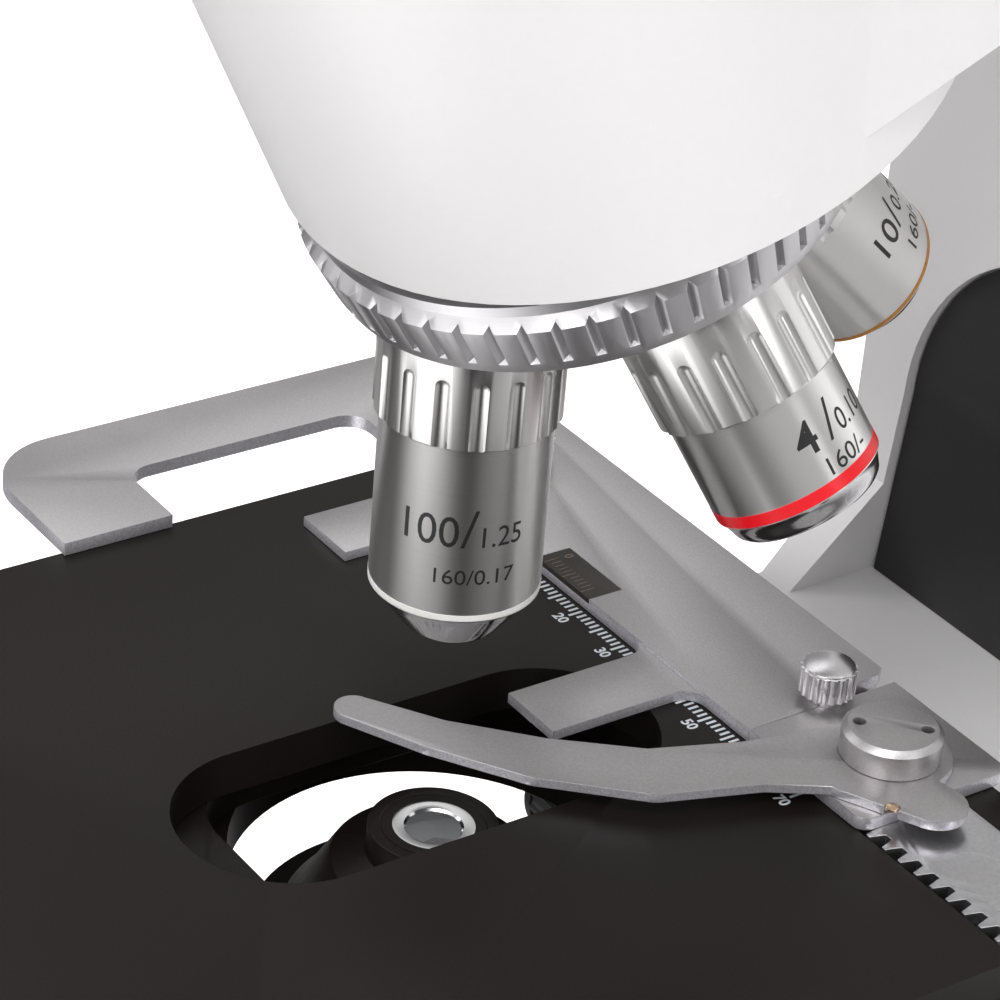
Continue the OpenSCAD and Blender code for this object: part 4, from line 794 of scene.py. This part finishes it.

# %% [markdown]
# The vernier slides along the scale with the specimen holder. Ten of its spaces make nine
# millimetres, so the tick that meets one of the stage's tells the tenths. It is fainter than the
# stage's print, so it has an ink of its own. It uses the same tree, with other numbers, and its
# place on the plate is given.

# %% The vernier's ticks and its zero, places in mm on its plate
low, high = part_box("vernier_plate")
VERNIER_PITCH = 0.9
VERNIER_COUNT = 11
VERNIER_TICK_AT = (1.6, 2.4)  # from the plate's left and front edges
VERNIER_ZERO_AT = (1.9, 2.1)  # from its left and back edges
VERNIER_CAP = 1.4
print_z = high.z + INK_LIFT
vernier_first = Matrix.Translation(Vector((low.x + VERNIER_TICK_AT[0] * MM,
                                           low.y + VERNIER_TICK_AT[1] * MM, print_z)))
baked("vernier_scale", TICKS, TICK_SOCKETS,
      {"Count": VERNIER_COUNT, "Pitch": VERNIER_PITCH * MM, "Width": 0.16 * MM, "Short": 1.6 * MM,
       "Long": 2.3 * MM, "Every": 5, "Ink": INK_FAINT}, vernier_first, "holder")
flat_number("vernier_zero", "0", VERNIER_CAP,
            Vector((low.x + VERNIER_ZERO_AT[0] * MM, high.y - VERNIER_ZERO_AT[1] * MM, print_z)),
            "holder", INK_FAINT)
print("vernier plate", [round((high[i] - low[i]) / MM, 2) for i in range(3)], "mm")

# %% [markdown]
# Small turned parts close the gaps between the solids and the photograph: the chrome bezel that
# holds the condenser's top lens, the black mount round it, and the brass rivet on the finger.
# They are too small to matter to a simulation, so they are made here and not as solids. Each is
# spun from the profile that a lathe would cut.

# %% Condenser bezel, lens mount and rivet, profiles in mm from the face that they sit in
BEZEL = [(5.5, -0.6), (5.5, -0.02), (5.15, 0.0), (4.0, -0.16), (3.7, -0.44), (5.0, -0.6)]
MOUNT = [(5.52, -0.6), (5.52, -0.04), (6.97, -0.04), (6.97, -0.6)]
RIVET = [(0.0, -0.3), (0.9, -0.3), (0.9, 0.04), (0.75, 0.12), (0.0, 0.16)]
RIVET_AT = (39.7, 43.4)
RIVET_STEPS = 48
at_condenser = Matrix.Translation(Vector((0.0, 0.0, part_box("condenser_body")[1].z)))
spun("condenser_bezel", BEZEL, at_condenser, BRIGHT, "condenser")
spun("condenser_mount", MOUNT, at_condenser, ANODISED, "condenser")
at_finger = Vector((RIVET_AT[0] * MM, RIVET_AT[1] * MM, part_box("clip_finger")[1].z))
spun("finger_rivet", RIVET, Matrix.Translation(at_finger), BRASS, "finger",
     steps=RIVET_STEPS)
print("turned extras 3, condenser top at", round(at_condenser.translation.z / MM, 2), "mm")

# %% [markdown]
# A photographer sets cards and dark strips round a shiny object, because metal shows only what
# stands round it. Real cards could be modelled, but they would also light the rest. So the studio
# has a ring of brightness, by direction, that glossy rays alone can see. Its strips were tuned on
# the barrels of the photograph.

# %% The ring of brightness: share of a turn, level
STUDIO_RING = [(0.0, 0.50), (0.06, 0.55), (0.08, 0.18), (0.11, 0.48), (0.17, 1.10),
               (0.235, 1.45), (0.268, 0.02), (0.292, 0.02), (0.32, 0.80), (0.40, 0.36),
               (0.55, 0.26), (0.592, 0.01), (0.617, 0.01), (0.65, 0.18), (0.70, 1.60),
               (0.76, 2.60), (0.82, 1.80), (0.88, 0.05), (0.935, 0.05), (0.97, 0.40),
               (1.0, 0.50)]


def ring_group():
    tree = bpy.data.node_groups.new("studio_ring", "ShaderNodeTree")
    vector_input(tree, "Place")
    group_sockets(tree, {}, ["Brightness"])
    nodes, links = tree.nodes, tree.links
    source = nodes.new("NodeGroupInput")
    sink = nodes.new("NodeGroupOutput")
    split = nodes.new("ShaderNodeSeparateXYZ")
    angle = nodes.new("ShaderNodeMath")
    angle.operation = "ARCTAN2"
    turns = nodes.new("ShaderNodeMath")
    turns.operation = "DIVIDE"
    turns.inputs[1].default_value = 2 * math.pi
    wrap = nodes.new("ShaderNodeMath")
    wrap.operation = "FRACT"
    ramp = nodes.new("ShaderNodeValToRGB")
    stops = ramp.color_ramp.elements
    for i, (at, level) in enumerate(STUDIO_RING):
        stop = stops[i] if i < 2 else stops.new(at)
        stop.position = at
        stop.color = (level, level, level, 1.0)
    links.new(source.outputs["Place"], split.inputs[0])
    links.new(split.outputs["Y"], angle.inputs[0])
    links.new(split.outputs["X"], angle.inputs[1])
    links.new(angle.outputs[0], turns.inputs[0])
    links.new(turns.outputs[0], wrap.inputs[0])
    links.new(wrap.outputs[0], ramp.inputs["Fac"])
    links.new(ramp.outputs["Color"], sink.inputs["Brightness"])
    return tree


RING = ring_group()
print("brightness ring stops", len(STUDIO_RING))

# %% [markdown]
# The floor is one pale square under the feet. It glows a little for the camera, which brings it
# near the white behind it and still keeps the soft shadow. A pure white floor would lose that
# shadow. Glossy rays meet the ring of brightness on it, as they do in the world.

# %% The floor
FLOOR_HALF = 3.0
FLOOR_GLOW = 0.55
floor_mesh = bpy.data.meshes.new("floor")
corners = [(-FLOOR_HALF, -FLOOR_HALF, 0), (FLOOR_HALF, -FLOOR_HALF, 0),
           (FLOOR_HALF, FLOOR_HALF, 0), (-FLOOR_HALF, FLOOR_HALF, 0)]
floor_mesh.from_pydata(corners, [], [(0, 1, 2, 3)])
floor = bpy.data.objects.new("floor", floor_mesh)
bpy.context.scene.collection.objects.link(floor)
floor_paint = new_material("pale_floor", (0.90, 0.90, 0.90), 0.0, 0.7)
floor_nodes = floor_paint.node_tree.nodes
floor_links = floor_paint.node_tree.links
floor_shader = floor_nodes["Principled BSDF"]
seen = floor_nodes.new("ShaderNodeLightPath")
glow = floor_nodes.new("ShaderNodeMath")
glow.operation = "MULTIPLY"
glow.inputs[1].default_value = FLOOR_GLOW
floor_links.new(seen.outputs["Is Camera Ray"], glow.inputs[0])
floor_shader.inputs["Emission Color"].default_value = (1.0, 1.0, 1.0, 1.0)
floor_links.new(glow.outputs[0], floor_shader.inputs["Emission Strength"])
floor_place = floor_nodes.new("ShaderNodeTexCoord")
floor_ring = floor_nodes.new("ShaderNodeGroup")
floor_ring.node_tree = RING
floor_links.new(floor_place.outputs["Object"], floor_ring.inputs["Place"])
card = floor_nodes.new("ShaderNodeEmission")
floor_links.new(floor_ring.outputs["Brightness"], card.inputs["Strength"])
floor_choice = floor_nodes.new("ShaderNodeMixShader")
floor_links.new(seen.outputs["Is Glossy Ray"], floor_choice.inputs["Fac"])
floor_links.new(floor_shader.outputs[0], floor_choice.inputs[1])
floor_links.new(card.outputs[0], floor_choice.inputs[2])
floor_links.new(floor_choice.outputs[0], floor_nodes["Material Output"].inputs["Surface"])
floor_mesh.materials.append(floor_paint)
print("floor", 2 * FLOOR_HALF, "m square")

# %% [markdown]
# The world has three faces. The camera sees plain white, as in the photograph. Glossy rays see the
# ring of brightness, which gives way to a bright ceiling higher up. All other rays see a dim
# white, the least bit pink, that fills the shadows. One white for all would leave the metal
# without contrast.

# %% The world
SKY_TINT = (1.0, 0.945, 0.972, 1.0)
SKY_LEVEL = 0.42
OVERHEAD_LEVEL = 1.7
OVERHEAD_FROM, OVERHEAD_FULL = 0.50, 0.80  # sine of the height where the ceiling starts and ends
bpy.context.scene.view_settings.view_transform = "Standard"
world = bpy.data.worlds.new("studio")
bpy.context.scene.world = world
world.use_nodes = True
sky_nodes, sky_links = world.node_tree.nodes, world.node_tree.links
soft = sky_nodes["Background"]
soft.inputs["Color"].default_value = SKY_TINT
soft.inputs["Strength"].default_value = SKY_LEVEL
white = sky_nodes.new("ShaderNodeBackground")
white.inputs["Color"].default_value = (1.0, 1.0, 1.0, 1.0)
white.inputs["Strength"].default_value = 1.0
mirror = sky_nodes.new("ShaderNodeBackground")
sky_place = sky_nodes.new("ShaderNodeTexCoord")
sky_ring = sky_nodes.new("ShaderNodeGroup")
sky_ring.node_tree = RING
sky_links.new(sky_place.outputs["Generated"], sky_ring.inputs["Place"])
sky_split = sky_nodes.new("ShaderNodeSeparateXYZ")
overhead = sky_nodes.new("ShaderNodeMapRange")
overhead.inputs["From Min"].default_value = OVERHEAD_FROM
overhead.inputs["From Max"].default_value = OVERHEAD_FULL
sky_mix = sky_nodes.new("ShaderNodeMix")
sky_mix.data_type = "FLOAT"
sky_mix.inputs["B"].default_value = OVERHEAD_LEVEL
sky_links.new(sky_place.outputs["Generated"], sky_split.inputs[0])
sky_links.new(sky_split.outputs["Z"], overhead.inputs["Value"])
sky_links.new(overhead.outputs["Result"], sky_mix.inputs["Factor"])
sky_links.new(sky_ring.outputs["Brightness"], sky_mix.inputs["A"])
sky_links.new(sky_mix.outputs["Result"], mirror.inputs["Strength"])
path = sky_nodes.new("ShaderNodeLightPath")
choose = sky_nodes.new("ShaderNodeMixShader")
glossy = sky_nodes.new("ShaderNodeMixShader")
sky_links.new(path.outputs["Is Glossy Ray"], glossy.inputs["Fac"])
sky_links.new(soft.outputs[0], glossy.inputs[1])
sky_links.new(mirror.outputs[0], glossy.inputs[2])
sky_links.new(path.outputs["Is Camera Ray"], choose.inputs["Fac"])
sky_links.new(glossy.outputs[0], choose.inputs[1])
sky_links.new(white.outputs[0], choose.inputs[2])
sky_links.new(choose.outputs[0], sky_nodes["World Output"].inputs["Surface"])
print("world nodes", len(sky_nodes))

# %% [markdown]
# Five large soft boxes light the object: one from each side, one in front, one above and one
# behind. Small lamps would be quicker to place, but their hard shadows aren't in the photograph.

# %% Lamps: place, aim, width and height in m, watts
LAMPS = {
    "left_box": ((-1.0, -0.7, 0.9), (0, 0, 0.2), (0.5, 0.9), 5),
    "right_box": ((1.15, 0.35, 0.8), (0, 0, 0.2), (0.35, 0.9), 3),
    "front_box": ((0.75, -1.05, 0.95), (0, 0, 0.30), (0.7, 0.7), 6.4),
    "top_box": ((0.25, -0.55, 1.5), (0, 0, 0.2), (0.9, 0.9), 13.5),
    "rear_box": ((-0.3, 1.3, 0.9), (0, 0, 0.2), (0.9, 0.5), 3),
}
for name, (place, aim, size, watts) in LAMPS.items():
    data = bpy.data.lights.new(name, "AREA")
    data.shape = "RECTANGLE"
    data.size, data.size_y = size
    data.energy = watts
    lamp = bpy.data.objects.new(name, data)
    bpy.context.scene.collection.objects.link(lamp)
    look = (Vector(aim) - Vector(place)).to_track_quat("-Z", "Y")
    lamp.matrix_world = Matrix.Translation(place) @ look.to_matrix().to_4x4()
print("lamps", len(LAMPS), "watts", sum(watts for *_, watts in LAMPS.values()))
